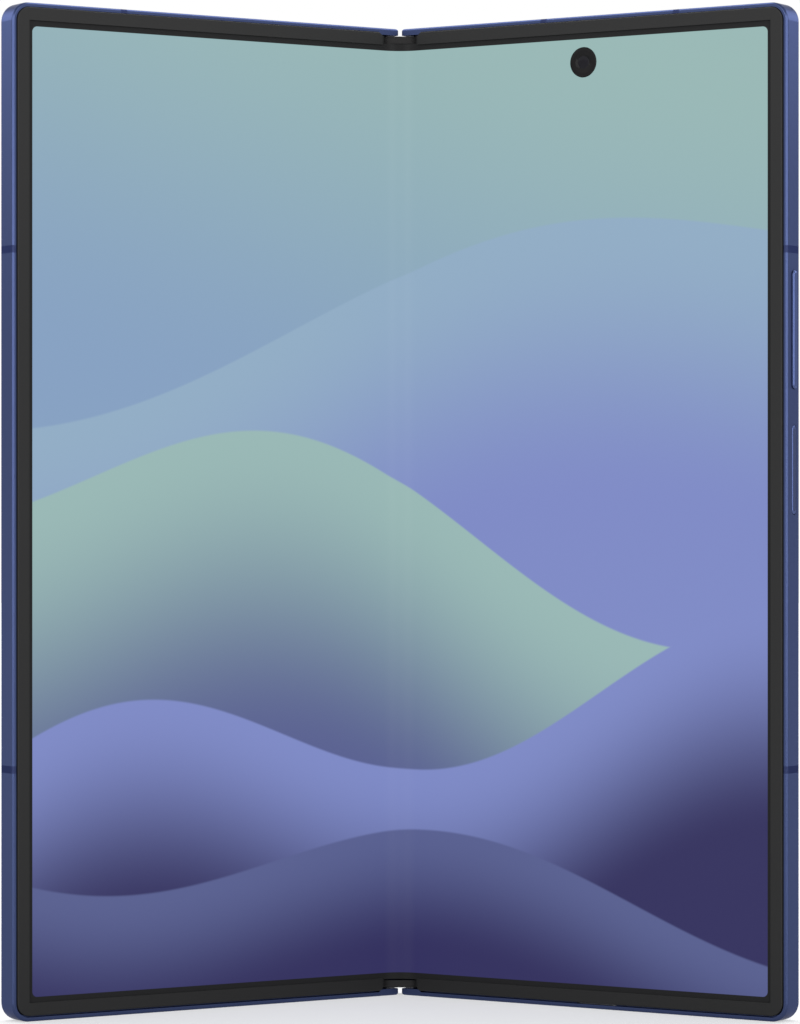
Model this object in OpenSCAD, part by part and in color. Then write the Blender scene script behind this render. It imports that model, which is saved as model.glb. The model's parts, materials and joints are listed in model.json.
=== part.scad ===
// Foldable smartphone, opened like a book and standing on its bottom edges.
// Millimetres. X runs left to right, Y runs away from the viewer, Z runs up.
// Each half is drawn flat in its own places: u from the fold line outwards, v from the front
// lip to the back, z up. in_right_half() and in_left_half() then swing it about its fold axis.

/* [Body] */
// Height of the phone
height = 158.4; // [150:0.2:168]
// Width of one half, from the fold line to the side wall
half_width = 71.6; // [68:0.2:78]
// Thickness of one half, from its front lip to its back
thickness = 4.2; // [4.1:0.05:4.6]
// Angle that each half is folded from flat
fold = 32.5; // [0:0.5:90]
// Outer corner radius
corner_r = 2.9; // [2.9:0.1:5]
// Rounding of the front edge, made with one broad facet
edge_r = 0.35; // [0.2:0.05:0.4]
// Rounding of the back edge
back_round = 0.5; // [0.2:0.05:0.6]

/* [Frame] */
// Width of the lip that shows round the display
lip_w = 0.66; // [0.5:0.02:0.74]
// Thickness of the side wall
wall = 1.5; // [1.4:0.05:1.8]
// Depth of the middle plate's front face
plate_v = 1.0; // [0.95:0.05:1.1]
// Thickness of the middle plate
plate_t = 0.3; // [0.2:0.05:0.4]
// Thickness of the end walls where they pass the hinge
end_wall = 1.1; // [0.9:0.05:1.15]
// Width of an antenna band
band_w = 1.15; // [0.8:0.05:2]
// Distance of each side band from the middle of the pair
band_z = 40.4; // [38.7:0.1:44]
// How far above the half's middle the pair of side bands is centred
band_lift = 0.4; // [0:0.05:0.8]
// Distance of the outer band on the top edge from the side wall's face
band_side = 19.7; // [18.5:0.1:21.6]
// Place of the inner band on the right top edge
band_inner_u = 27.7; // [26:0.1:32]

/* [Display] */
// Depth of the display's surface behind the lip
display_v = 0.05; // [0.02:0.01:0.1]
// Thickness of the flexible display
display_t = 0.6; // [0.4:0.05:0.6]
// Thickness of the metal support plate
support_t = 0.15; // [0.1:0.01:0.15]
// Distance from the fold line where the display starts to bend
bend_u = 3.45; // [3.4:0.05:4.2]
// Width of the trim that covers the display's edge
trim_w = 2.05; // [1.6:0.05:2.05]
// Gap from the outer face to the trim
trim_inset = 0.8; // [0.76:0.01:0.85]
// How far the trim stands proud of the lip
trim_proud = 0.22; // [0.1:0.01:0.22]
// How far the display stack sits above the middle of the frame
stack_rise = 0.09; // [0:0.01:0.1]
// Diameter of the front camera's hole
punch_d = 4.9; // [3.5:0.1:5.5]
// Distance of the hole from the fold line
punch_u = 35.05; // [32:0.05:38]
// Distance of the hole from the top edge
punch_top = 7.4; // [6.4:0.1:9]

/* [Hinge] */
// Depth of the fold axes behind the front lip
axis_v = 1.0; // [0.98:0.01:1.02]
// Distance of each front lip from the middle plane when the phone is closed
closed_gap = 0.25; // [0.23:0.01:0.3]
// Wall of the spine cover
spine_wall = 0.4; // [0.3:0.05:0.45]
// Running gap between the spine cover and each half
spine_gap = 0.15; // [0.12:0.01:0.2]
// Module of the synchronising gears
gear_module = 0.1; // [0.08:0.01:0.1]
// Teeth of the gear on each hinge arm
arm_teeth = 8; // [6:1:8]
// Teeth of each idler gear
idler_teeth = 16; // [12:2:16]
// Inner radius of the crescent rails
rail_in_r = 1.4; // [1.3:0.05:1.5]
// Thickness of the crescent rails
rail_t = 0.6; // [0.4:0.05:0.6]
// Thickness of each web of a hinge bracket
web_t = 1.0; // [0.8:0.1:1.4]
// Length of each crescent rail along the hinge
rail_len = 3.0; // [2:0.1:4]
// Length of the gears along the hinge
gear_len = 2.4; // [1.6:0.1:3]
// Height of the outer hinge modules above and below the middle
module_z = 62; // [58:0.5:64]
// Radius of the gear pins
pin_r = 0.3; // [0.2:0.05:0.35]
// Running clearance of a pin in its gear
pin_gap = 0.03; // [0.02:0.01:0.05]
// Running clearance beside rails and gears
side_gap = 0.1; // [0.05:0.01:0.2]

/* [Keys] */
// Length of the volume key
volume_len = 18.5; // [14:0.1:22]
// Distance of the volume key's middle below the upper side band
volume_drop = 12.45; // [11.9:0.05:14.5]
// How far the volume key stands proud
volume_proud = 0.35; // [0.1:0.05:0.4]
// Length of the power key
power_len = 13.9; // [10:0.1:15]
// Distance of the power key's middle below the volume key's
power_drop = 21.8; // [20.5:0.05:24]
// How far the power key stands proud
power_proud = 0.08; // [0:0.01:0.2]
// Width of both keys
key_w = 1.3; // [1:0.05:1.4]
// Depth of the keys' centre line behind the front lip
key_v = 2.25; // [2.2:0.05:2.3]
// Gap round each key
key_gap = 0.06; // [0.05:0.01:0.1]
// Travel of the power key
key_travel = 0.2; // [0.1:0.05:0.25]

/* [Back] */
// Thickness of both outer glasses
glass_t = 0.6; // [0.5:0.05:0.6]
// Width of the metal rim round the back glass
rim_w = 0.8; // [0.6:0.05:0.9]
// Width of the camera island
island_w = 17; // [16:0.5:19]
// Spacing of the three cameras
lens_pitch = 15.5; // [15:0.5:17]
// Distance of the island's centre line from the side wall's face
island_side = 12.6; // [12.4:0.1:14.6]
// Distance of the island's centre from the top edge
island_top = 31; // [28:0.5:34]
// Height of the island above the glass
island_proud = 1.4; // [1:0.1:2]
// Height of the lens rings above the island
ring_proud = 1.0; // [0.6:0.1:1.2]
// Outer radius of the lens rings
ring_r = 6.6; // [6:0.1:7]
// Radius of the lens glasses
lens_r = 5.4; // [4.5:0.1:5.6]

/* [Ports] */
// Width of the charging socket's opening
usb_w = 8.34; // [8.3:0.02:8.4]
// Height of the charging socket's opening
usb_h = 2.56; // [2.5:0.02:2.6]
// Distance of the charging socket beyond the middle of its half
usb_shift = 1.2; // [-1:0.1:3]
// Diameter of the speaker holes
speaker_d = 1.0; // [0.6:0.1:1.4]
// Spacing of the speaker holes
speaker_pitch = 2.2; // [1.8:0.1:2.6]
// Width of the tray's face on the top edge
tray_w = 15.6; // [14:0.1:17]
// Depth of the tray
tray_d = 20; // [18:0.5:24]
// Distance of the tray from the middle of its half, towards the fold line
tray_shift = 13.8; // [13:0.1:16]
// Running gap round the tray
tray_gap = 0.05; // [0.03:0.01:0.1]

/* [Inside] */
// Length of the upper boards, from the top edge down
board_len = 52; // [50:0.5:56]
// Height of the bottom bay, up to the batteries
bay_h = 34; // [32:0.5:38]
// Length that the left battery leaves free at the top
left_bay_h = 42; // [40:0.5:50]
// Room between the batteries and the side wall
cell_side = 4; // [3:0.1:6]
// Room between the batteries and the boards
cell_gap = 3; // [1:0.1:5]
// Outer radius of the charging coil
coil_r = 21; // [15:0.5:21]
// Inner radius of the charging coil
coil_in = 12; // [8:0.5:13]
// Length of the loudspeaker's box
speaker_len = 22.4; // [16:0.1:26]
// Half width of the loudspeaker's box
speaker_half = 7; // [5.5:0.1:7]
// Length of the earpiece's box
ear_len = 8.9; // [6:0.1:12]
// Side of the vibration motor
motor_side = 12; // [8:0.1:13]
// Length of each magnet
magnet_len = 12; // [6:0.5:14]
// Width of each magnet
magnet_w = 2; // [1.4:0.1:2.2]
// Half width of the small cameras' bodies
small_cam = 3.2; // [2.8:0.1:3.4]

/* [Hidden] */
$fn = 48;
eps = 0.02; // fit between pieces of one half
skin = 0.1; // wall of stamped pieces

mid_z = height / 2;
mid_u = half_width / 2;
island_u = half_width - island_side;
band_u = half_width - band_side;
usb_u = mid_u + usb_shift;
tray_u = mid_u - tray_shift;
side_bands = [for (side = [-1, 1]) mid_z + band_lift + side * band_z];
volume_z = band_lift + band_z - volume_drop; // above the middle
power_z = volume_z - power_drop;
back_v = thickness - glass_t; // inner face of the outer glasses
seat_v = back_v - eps; // ledge that carries them
display_back = display_v + display_t;
support_v = display_back + support_t;

// Hinge layout
axis_u = axis_v + closed_gap;
channel_r = back_v - axis_v - eps; // hollow of each half round the spine
spine_r = back_v - axis_v - spine_gap;
spine_in = spine_r - spine_wall;
gap_u = 0.21 + 0.4514 * axis_u; // inner end of each half at the fold
rim_u = gap_u + 1.45; // width of the metal rim along the fold
rail_u = axis_u + channel_r + 0.75; // inner wall of each half's pocket
spine_rim_v = axis_v + 0.4;
spine_end = end_wall + spine_gap;
cap_t = 1.2; // thickness of the spine's end caps
arm_top = support_v + 0.06;
arm_t = 0.49;
foot_u = axis_u + channel_r + 0.07;
foot_len = 5.1;
module_span = 2 * rail_len + gear_len + 4 * web_t + 6 * side_gap;
modules = [mid_z - module_z, mid_z, mid_z + module_z];

// Gears: an arm gear on each fold axis drives an idler, and the two idlers mesh
arm_pitch = gear_module * arm_teeth / 2;
idler_pitch = gear_module * idler_teeth / 2;
centre_dist = arm_pitch + idler_pitch;
idler_v = axis_v + sqrt(pow(centre_dist, 2) - pow(axis_u - idler_pitch, 2));
mesh_angle = atan2(idler_v - axis_v, idler_pitch - axis_u);
idler_turn = fold * arm_teeth / idler_teeth;

// Places along one hinge module, from its lower end
rail_right_z = web_t + side_gap;
gears_z = rail_right_z + rail_len + side_gap + web_t + side_gap;
rail_left_z = gears_z + gear_len + side_gap + web_t + side_gap;

// A point of the right half, swung from flat to the fold angle
function swing(u, v) = [
    axis_u + (u - axis_u) * cos(fold) + (v - axis_v) * sin(fold),
    axis_v - (u - axis_u) * sin(fold) + (v - axis_v) * cos(fold)
];
// The front edge's three facets, the middle one broad and bright
front_edge = [for (a = [0, 20, 65, 90]) edge_r * [1 - sin(a), 1 - cos(a)]];
front_y = swing(half_width - front_edge[1][0], front_edge[1][1])[1];
rear_y = swing(gap_u, thickness)[1];
centre_y = -(front_y + rear_y) / 2;

metal = [0.25, 0.31, 0.45];
dark_metal = [0.2, 0.24, 0.36];
steel = [0.66, 0.67, 0.69];
bezel_grey = [0.21, 0.21, 0.22];
glass_blue = [0.13, 0.17, 0.3];
board_green = [0.06, 0.22, 0.16];
cell_grey = [0.14, 0.14, 0.15];

// ---------- placing ----------

module in_spine() {
    translate([0, centre_y, 0]) children();
}

module in_right_half() {
    translate([axis_u, axis_v + centre_y, 0])
        rotate([0, 0, -fold])
            translate([-axis_u, -axis_v, 0])
                children();
}

module in_left_half() {
    mirror([1, 0, 0]) in_right_half() children();
}

module both_ends() {
    children();
    translate([0, 0, height]) mirror([0, 0, 1]) children();
}

// A (u, z) outline given a thickness from depth v0 to depth v1
module plate(v0, v1) {
    mirror([0, 1, -1]) translate([0, 0, v0]) linear_extrude(v1 - v0) children();
}

// A (length, depth) outline pushed into the side wall, from inset w0 to inset w1
module side_prism(w0, w1, z) {
    translate([half_width - w1, 0, z])
        mirror([1, 0, -1]) linear_extrude(w1 - w0) children();
}

// ---------- outlines ----------

module box_outline(u0, z0, u1, z1, r) {
    translate([u0 + r, z0]) square([u1 - u0 - 2 * r, z1 - z0]);
    translate([u0, z0 + r]) square([u1 - u0, z1 - z0 - 2 * r]);
    for (u = [u0 + r, u1 - r], z = [z0 + r, z1 - r]) {
        translate([u, z]) circle(r);
    }
}

module stadium(len, wid) {
    square([len - wid, wid], center = true);
    for (s = [-1, 1]) {
        translate([s * (len - wid) / 2, 0]) circle(wid / 2);
    }
}

// A quarter arc of points about a centre
function arc(c, r, a0, a1, n = 5) = [
    for (i = [0:n]) c + r * [cos(a0 + (a1 - a0) * i / n), sin(a0 + (a1 - a0) * i / n)]
];

function wedge(a0, a1, r) = concat(
    [[0, 0]],
    [for (i = [0:6]) r * [cos(a0 + (a1 - a0) * i / 6), sin(a0 + (a1 - a0) * i / 6)]]
);

// The space inside the spine, as two circles about the fold axes and what lies between
module spine_outline(r, top_v) {
    intersection() {
        union() {
            for (s = [-1, 1]) {
                translate([s * axis_u, axis_v]) circle(r);
            }
            translate([-axis_u, axis_v - r]) square([2 * axis_u, 2 * r]);
        }
        translate([-axis_u - r, top_v]) square([2 * (axis_u + r), axis_v + r - top_v]);
    }
}

// A stadium block with a rounded top edge, long along X, from Z = 0 up
module pill(len, wid, t, edge) {
    r = wid / 2;
    side = concat([[r, 0]], arc([r - edge, t - edge], edge, 0, 90));
    for (s = [-1, 1]) {
        translate([s * (len - wid) / 2, 0, 0])
            rotate_extrude() polygon(concat([[0, 0]], side, [[0, t]]));
    }
    translate([-(len - wid) / 2, 0, 0])
        rotate([90, 0, 90])
            linear_extrude(len - wid)
                polygon(concat(side, [for (i = [len(side) - 1:-1:0]) [-side[i][0], side[i][1]]]));
}

// ---------- the frames ----------

// Section of the side wall: x is the inset from the outer face, y is the depth
function wall_section(inner) = concat(
    front_edge,
    arc([back_round, thickness - back_round], back_round, 180, 90),
    [[rim_w, thickness], [rim_w, seat_v], [inner, seat_v], [inner, plate_v]],
    inner > lip_w + 0.5 ? [[lip_w, plate_v], [lip_w, 0]] : [[inner, 0]]
);

function from_corner(points) = [for (p = points) [corner_r - p[0], p[1]]];

function end_wall_section() = concat(
    front_edge,
    arc([back_round, thickness - back_round], back_round, 180, 90),
    [[rim_w, thickness], [rim_w, seat_v], [end_wall, seat_v], [end_wall, 0]]
);

// A section swept along the side, round one corner and along one end
module swept_edge(points, u_start, rise = 0) {
    corner_z = height - corner_r;
    corner_u = half_width - corner_r;
    turned = from_corner(points);
    translate([corner_u, 0, mid_z]) {
        linear_extrude(corner_z - mid_z + rise) polygon(turned);
    }
    translate([corner_u, 0, corner_z + rise])
        mirror([0, 1, -1]) rotate_extrude(angle = 90) polygon(turned);
    translate([u_start, 0, corner_z + rise])
        mirror([1, 0, -1]) linear_extrude(corner_u - u_start) polygon(turned);
}

thick_u = foot_u + 0.05; // the end walls are thick up to here

fold_corner_r = 0.4; // rounding of each frame's corners at the fold

module fold_corner_cut() {
    c = [gap_u + fold_corner_r, height - fold_corner_r];
    plate(-1, thickness + 1) polygon(concat(
        [[gap_u - 1, height + 1], [gap_u - 1, c[1]]],
        arc(c, fold_corner_r, 180, 90),
        [[c[0], height + 1]]
    ));
}

module frame_blank() {
    both_ends() {
        swept_edge(wall_section(wall), thick_u);
        translate([gap_u, 0, height - corner_r])
            mirror([1, 0, -1])
                linear_extrude(thick_u - gap_u)
                    polygon(from_corner(end_wall_section()));
        plate(0, plate_v) polygon([
            [thick_u - eps, height - lip_w + eps],
            [thick_u - eps, height - end_wall],
            [thick_u + 0.6, height - lip_w + eps]
        ]);
    }
    plate(plate_v, plate_v + plate_t)
        translate([rail_u - 0.1, wall - 0.1])
            square([half_width - rail_u - wall + 0.2, height - 2 * wall + 0.2]);
    hinge_rail();
}

// The rail along the hinge, hollowed round the spine
module hinge_rail() {
    translate([0, 0, end_wall - 0.05])
        linear_extrude(height - 2 * end_wall + 0.1)
            difference() {
                polygon([
                    [gap_u, back_v - 0.05], [gap_u, thickness], [rim_u, thickness],
                    [rim_u, seat_v], [rail_u, seat_v], [rail_u, plate_v], [axis_u, plate_v]
                ]);
                translate([axis_u, axis_v]) circle(channel_r);
            }
}

// Seats under the feet of the hinge arms
module hinge_seats(z0, len) {
    for (z = modules) {
        translate([foot_u, arm_top + arm_t, z - module_span / 2 + z0 - side_gap])
            cube([foot_len + 0.4, 0.85, len + 2 * side_gap]);
    }
}

module hinge_notches(z0, len) {
    for (z = modules) {
        translate([foot_u - 1, -1, z - module_span / 2 + z0 - side_gap])
            cube([foot_len + 1 + side_gap, 1 + arm_top + arm_t, len + 2 * side_gap]);
    }
}

module frame_body(foot_z, foot_span) {
    difference() {
        union() {
            frame_blank();
            hinge_seats(foot_z, foot_span);
        }
        difference() {
            hinge_notches(foot_z, foot_span);
            end_blocks();
        }
        screw_places(foot_z, foot_span) cylinder(r = 0.4, h = 1.2);
        both_ends() fold_corner_cut();
        for (z = side_bands) side_band_cut(z);
        end_band_cut(band_u);
        children();
    }
}

// Keeps the notches out of the end walls
module end_blocks() {
    both_ends() {
        translate([0, -2, -1]) cube([half_width, thickness + 4, end_wall + 1]);
    }
}

module side_band_cut(z) {
    translate([half_width - wall, -1, z - band_w / 2]) cube([wall + 1, thickness + 2, band_w]);
}

module end_band_cut(u) {
    translate([u - band_w / 2, -1, height - wall]) cube([band_w, thickness + 2, wall + 1]);
}

module antenna_set(ends) {
    for (z = side_bands) {
        translate([half_width - corner_r, 0, z - band_w / 2])
            linear_extrude(band_w) polygon(from_corner(wall_section(wall)));
    }
    for (u = ends) {
        translate([u - band_w / 2, 0, height - corner_r])
            mirror([1, 0, -1])
                linear_extrude(band_w)
                    polygon(from_corner(wall_section(wall)));
    }
}

module key_slot(len, z) {
    side_prism(-1, wall + 0.5, mid_z + z)
        translate([0, key_v]) stadium(len + 2 * key_gap, key_w + 2 * key_gap);
}

module speaker_holes() {
    for (i = [-2:2]) {
        translate([speaker_u + i * speaker_pitch, port_v, -1])
            cylinder(d = speaker_d, h = wall + 2);
    }
}

port_v = (support_v + back_v) / 2;
speaker_u = half_width - 15.6;
mic_r = 0.35;

module usb_outline(extra) {
    stadium(usb_w + 2 * extra, usb_h + 2 * extra);
}

module right_frame() {
    color(metal) in_right_half() frame_body(rail_right_z, right_foot_span()) {
        end_band_cut(band_inner_u);
        key_slot(volume_len, volume_z);
        key_slot(power_len, power_z);
        translate([usb_u, port_v, -1]) linear_extrude(wall + 2) usb_outline(skin + eps);
        translate([usb_u - usb_w / 2 - 0.2, 0, wall])
            cube([usb_w + 0.4, plate_v + plate_t + 0.1, socket_d + 0.3]);
        speaker_holes();
        translate([usb_u - 8, port_v, -1]) cylinder(r = mic_r, h = wall + 2);
        translate([usb_u + 9, port_v, height - wall - 1]) cylinder(r = mic_r, h = wall + 2);
        plate(plate_v - 1, plate_v + 1)
            translate([punch_u, height - punch_top]) circle(3.4);
    }
}

module left_frame() {
    color(metal) in_left_half() frame_body(gears_z, left_foot_span()) {
        translate([tray_u - tray_w / 2 - tray_gap, port_v - tray_face / 2 - tray_gap, height - wall - 1])
            cube([tray_w + 2 * tray_gap, tray_face + 2 * tray_gap, wall + 2]);
        translate([tray_u + tray_w / 2 + 1.4, port_v, height - wall - 1])
            cylinder(r = mic_r, h = wall + 2);
        for (i = [-1:1]) {
            translate([ear_u + i * speaker_pitch, port_v, height - wall - 1])
                cylinder(d = speaker_d, h = wall + 2);
        }
    }
}

module right_antenna_bands() {
    color(dark_metal) in_right_half() antenna_set([band_u, band_inner_u]);
}

module left_antenna_bands() {
    color(dark_metal) in_left_half() antenna_set([band_u]);
}

// ---------- display ----------

trim_foot = 0.4;
stack_inset = trim_inset + trim_foot + 0.15;

function trim_section() = concat(
    [[trim_inset, support_v]],
    arc([trim_inset + 0.2, 0.2 - trim_proud], 0.2, 180, 270, 4),
    [
        [trim_inset + trim_w, -trim_proud], [trim_inset + trim_w, display_v - eps],
        [trim_inset + trim_foot, display_v - eps], [trim_inset + trim_foot, support_v]
    ]
);

module bezel_trim() {
    difference() {
        union() {
            translate([0, 0, height]) mirror([0, 0, 1])
                swept_edge(trim_section(), trim_end_u, -stack_rise);
            swept_edge(trim_section(), trim_end_u, stack_rise);
        }
        both_ends() {
            plate(-1, thickness) polygon([
                [0, height + 1], [0, height - end_wall - spine_gap],
                [thick_u, height - end_wall - spine_gap], [thick_u + 0.7, height - lip_w],
                [thick_u + 0.7, height + 1]
            ]);
        }
    }
}

trim_end_u = bend_u + 0.45;

module right_bezel_trim() {
    color(bezel_grey) in_right_half() bezel_trim();
}

module left_bezel_trim() {
    color(bezel_grey) in_left_half() bezel_trim();
}

module stack_outline(extra) {
    u1 = half_width - stack_inset + extra;
    z0 = stack_inset + stack_rise - extra;
    z1 = height - stack_inset + stack_rise + extra;
    r = corner_r - stack_inset;
    difference() {
        box_outline(0, z0, u1, z1, r);
        translate([-1, -1]) square([bend_u + 1, height + 2]);
    }
}

module camera_hole(r) {
    translate([punch_u, height - punch_top]) circle(r);
}

module right_display_zone() {
    color([0.45, 0.55, 0.75]) in_right_half()
        plate(display_v, display_back) difference() {
            stack_outline(0);
            camera_hole(punch_d / 2);
        }
}

module left_display_zone() {
    color([0.35, 0.4, 0.6]) in_left_half()
        plate(display_v, display_back) stack_outline(0);
}

module support_plate() {
    plate(display_back, support_v) difference() {
        stack_outline(-0.1);
        children();
    }
}

module right_support_plate() {
    color(steel) in_right_half() support_plate() camera_hole(3.2);
}

module left_support_plate() {
    color(steel) in_left_half() support_plate();
}

// The bent zone stops short of the caps at both ends
fold_half_z = mid_z - spine_end - cap_t - stack_rise - 0.1;

// The bent zone: a bow about one centre, tangent to both halves
module display_fold_zone() {
    bow_v = fold > 0.5 ? axis_v - (axis_u + (bend_u - axis_u) * cos(fold)) / sin(fold) : -1;
    bow_y = swing(bend_u, bow_v)[1];
    r_front = display_v - bow_v;
    color([0.4, 0.48, 0.68]) in_spine()
        if (fold > 0.5) {
            translate([0, bow_y, mid_z + stack_rise - fold_half_z])
                rotate([0, 0, 90 - fold])
                    rotate_extrude(angle = 2 * fold)
                        translate([r_front, 0]) square([display_t, 2 * fold_half_z]);
        } else {
            translate([-bend_u, display_v, mid_z - fold_half_z])
                cube([2 * bend_u, display_t, 2 * fold_half_z]);
        }
}

module fold_support_plate() {
    half_w = axis_u - arm_pitch - gear_module - 0.05;
    color(steel) in_spine()
        translate([-half_w, display_back, spine_end + cap_t + 0.5])
            cube([2 * half_w, support_t, height - 2 * (spine_end + cap_t + 0.5)]);
}

module front_camera_window() {
    color([0.03, 0.03, 0.04]) in_right_half()
        plate(display_v + 0.01, display_v + 0.4) camera_hole(punch_d / 2 - eps);
}

module front_camera_module() {
    color([0.1, 0.1, 0.11]) in_right_half() {
        plate(display_v + 0.4, plate_v + 1) camera_hole(2.1);
        plate(plate_v + 0.5, back_v - 0.4)
            translate([punch_u - small_cam, height - punch_top - small_cam]) square(2 * small_cam);
    }
}

// ---------- hinge ----------

module hinge_spine_cover() {
    color(metal) in_spine()
        translate([0, 0, spine_end])
            linear_extrude(height - 2 * spine_end)
                difference() {
                    spine_outline(spine_r, spine_rim_v);
                    spine_outline(spine_in, -5);
                }
}

// Black caps that close the spine's ends and show between the trims
module hinge_end_caps() {
    face_half = 3.1;
    crown = 0.2;
    crown_r = (pow(face_half, 2) + pow(crown, 2)) / (2 * crown);
    color(bezel_grey) in_spine()
        both_ends()
            translate([0, 0, spine_end]) linear_extrude(cap_t) {
                spine_outline(spine_in - eps, axis_v);
                intersection() {
                    translate([0, display_v + 0.05 + crown_r]) circle(crown_r, $fn = 240);
                    translate([-face_half, 0]) square([2 * face_half, axis_v + 0.1]);
                }
            }
}

module ring_sector(r0, r1, a0, a1) {
    intersection() {
        difference() {
            circle(r1);
            circle(r0);
        }
        polygon(wedge(a0, a1, 2 * r1));
    }
}

module bracket_body() {
    difference() {
        linear_extrude(module_span) spine_outline(spine_in - eps, axis_v);
        for (s = [[1, rail_right_z], [-1, rail_left_z]]) {
            mirror([s[0] < 0 ? 1 : 0, 0, 0])
                translate([axis_u, axis_v, s[1] - side_gap])
                    linear_extrude(rail_len + 2 * side_gap)
                        difference() {
                            circle(rail_in_r + rail_t + side_gap / 2);
                            circle(rail_in_r - side_gap / 2);
                        }
        }
        translate([-5, -5, gears_z - side_gap]) cube([10, 10, gear_len + 2 * side_gap]);
        for (s = [-1, 1]) {
            translate([s * idler_pitch, idler_v, -1]) cylinder(r = pin_r + 0.01, h = module_span + 2);
        }
    }
    for (z = [0, gears_z - side_gap - web_t, gears_z + gear_len + side_gap, module_span - web_t]) {
        translate([-0.6, support_v, z]) cube([1.2, axis_v - support_v + 0.05, web_t]);
    }
}

module hinge_brackets() {
    color(steel) in_spine()
        for (z = modules) {
            translate([0, 0, z - module_span / 2]) bracket_body();
        }
}

module hinge_gear_pins() {
    z0 = gears_z - side_gap - web_t;
    color([0.75, 0.75, 0.77]) in_spine()
        for (z = modules, s = [-1, 1]) {
            translate([s * idler_pitch, idler_v, z - module_span / 2 + z0 + 0.05])
                cylinder(r = pin_r, h = gear_len + 2 * side_gap + 2 * web_t - 0.1);
        }
}

// Tooth with involute flanks on a gear whose first tooth points at angle 0
pressure = 20;
backlash = 0.08; // share of the pitch
addendum = 0.8;
dedendum = 1.15;

function involute_turn(r, base) = r <= base ? 0 : sqrt(pow(r / base, 2) - 1) * 180 / PI - acos(base / r);

function half_tooth(r, teeth) =
    let (pitch = gear_module * teeth / 2, base = pitch * cos(pressure))
    90 / teeth * (1 - 2 * backlash) + involute_turn(pitch, base) - involute_turn(r, base);

function gear_points(teeth, turn) =
    let (
        pitch = gear_module * teeth / 2,
        root = pitch - dedendum * gear_module,
        tip = pitch + addendum * gear_module,
        steps = [root, pitch * cos(pressure), pitch, (pitch + tip) / 2, tip]
    )
    [
        for (t = [0:teeth - 1], s = [-1, 1], i = [0:4])
            let (
                r = steps[s < 0 ? i : 4 - i],
                a = turn + 360 * t / teeth + s * half_tooth(r, teeth)
            )
            r * [cos(a), sin(a)]
    ];

// One half's arms: a crescent rail in its own slot, and a gear on the fold axis
module hinge_arm_set(rail_z, shift) {
    foot_z = min(rail_z, gears_z);
    foot_span = max(rail_z + rail_len, gears_z + gear_len) - foot_z;
    for (z = modules) {
        translate([0, 0, z - module_span / 2]) difference() {
            union() {
                translate([0, 0, rail_z]) linear_extrude(rail_len) {
                    translate([axis_u, axis_v])
                        ring_sector(rail_in_r, rail_in_r + rail_t, -4, 150);
                    translate([axis_u + rail_in_r + 0.15, arm_top])
                        square([foot_u - axis_u - rail_in_r + 0.1, arm_t]);
                }
                translate([0, 0, gears_z]) linear_extrude(gear_len) {
                    intersection() {
                        translate([axis_u, axis_v])
                            polygon(gear_points(arm_teeth, mesh_angle + shift * 360 / arm_teeth));
                        translate([axis_u - 1, axis_v - 0.22]) square([2, 2]);
                    }
                    translate([axis_u, arm_top]) square([foot_u - axis_u + 0.1, 0.34]);
                }
                translate([foot_u + 0.05, arm_top, foot_z]) cube([foot_len, arm_t, foot_span]);
            }
            arm_screw_places(foot_z, foot_span) {
                cylinder(r = 0.42, h = 2);
                translate([0, 0, -0.5]) cylinder(r = 0.9, h = 0.8);
            }
        }
    }
}

function right_foot_span() = gears_z + gear_len - rail_right_z;
function left_foot_span() = rail_left_z + rail_len - gears_z;

// Screw places in a foot, drawn into the depth of the phone
module arm_screw_places(z0, span) {
    for (z = [z0 + 1.3, z0 + span - 1.3]) {
        translate([foot_u + foot_len - 1.6, arm_top, z]) rotate([-90, 0, 0]) children();
    }
}

module screw_places(z0, span) {
    for (z = modules) {
        translate([0, 0, z - module_span / 2]) arm_screw_places(z0, span) children();
    }
}

module right_hinge_arms() {
    color(steel) in_right_half() hinge_arm_set(rail_right_z, 0);
}

module left_hinge_arms() {
    color(steel) in_left_half() hinge_arm_set(rail_left_z, 0.5);
}

module arm_screw() {
    cylinder(r = 0.38, h = 1.1);
    difference() {
        translate([0, 0, 0.02]) cylinder(r = 0.85, h = 0.26);
        translate([0, 0, -0.1]) cylinder(r = 0.3, h = 0.25, $fn = 6);
    }
}

module right_hinge_screws() {
    color(steel) in_right_half() screw_places(rail_right_z, right_foot_span()) arm_screw();
}

module left_hinge_screws() {
    color(steel) in_left_half() screw_places(gears_z, left_foot_span()) arm_screw();
}

module idler_set(shift) {
    turn = mesh_angle + 180 + (0.5 - shift) * 360 / idler_teeth + idler_turn;
    for (z = modules) {
        translate([idler_pitch, idler_v, z - module_span / 2 + gears_z])
            linear_extrude(gear_len) difference() {
                polygon(gear_points(idler_teeth, turn));
                circle(pin_r + pin_gap);
            }
    }
}

module right_idler_gears() {
    color([0.8, 0.68, 0.4]) in_spine() idler_set(0);
}

module left_idler_gears() {
    color([0.8, 0.68, 0.4]) in_spine() mirror([1, 0, 0]) idler_set(0.5);
}

// Ribbon cables that cross the spine between the hinge modules
ribbon_t = 0.12;
ribbon_w = 22;
ribbon_v = support_v + 0.1;

function ribbon_line() =
    let (
        start = swing(foot_u + 3, ribbon_v),
        edge = swing(foot_u, ribbon_v),
        away = (edge - start) / norm(edge - start),
        low = [0, axis_v + spine_in - 0.7],
        steps = 10
    )
    concat([start], [
        for (i = [0:steps])
            let (t = i / steps, p1 = edge + 1.6 * away, p2 = low + [1.3, 0])
            pow(1 - t, 3) * edge + 3 * t * pow(1 - t, 2) * p1 + 3 * t * t * (1 - t) * p2 + pow(t, 3) * low
    ]);

function beside(line, side) = [
    for (i = [0:len(line) - 1])
        let (
            a = line[max(i - 1, 0)],
            b = i == len(line) - 1 ? [-line[i - 1][0], line[i - 1][1]] : line[i + 1],
            d = (b - a) / norm(b - a)
        )
        line[i] + side * [-d[1], d[0]]
];

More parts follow.
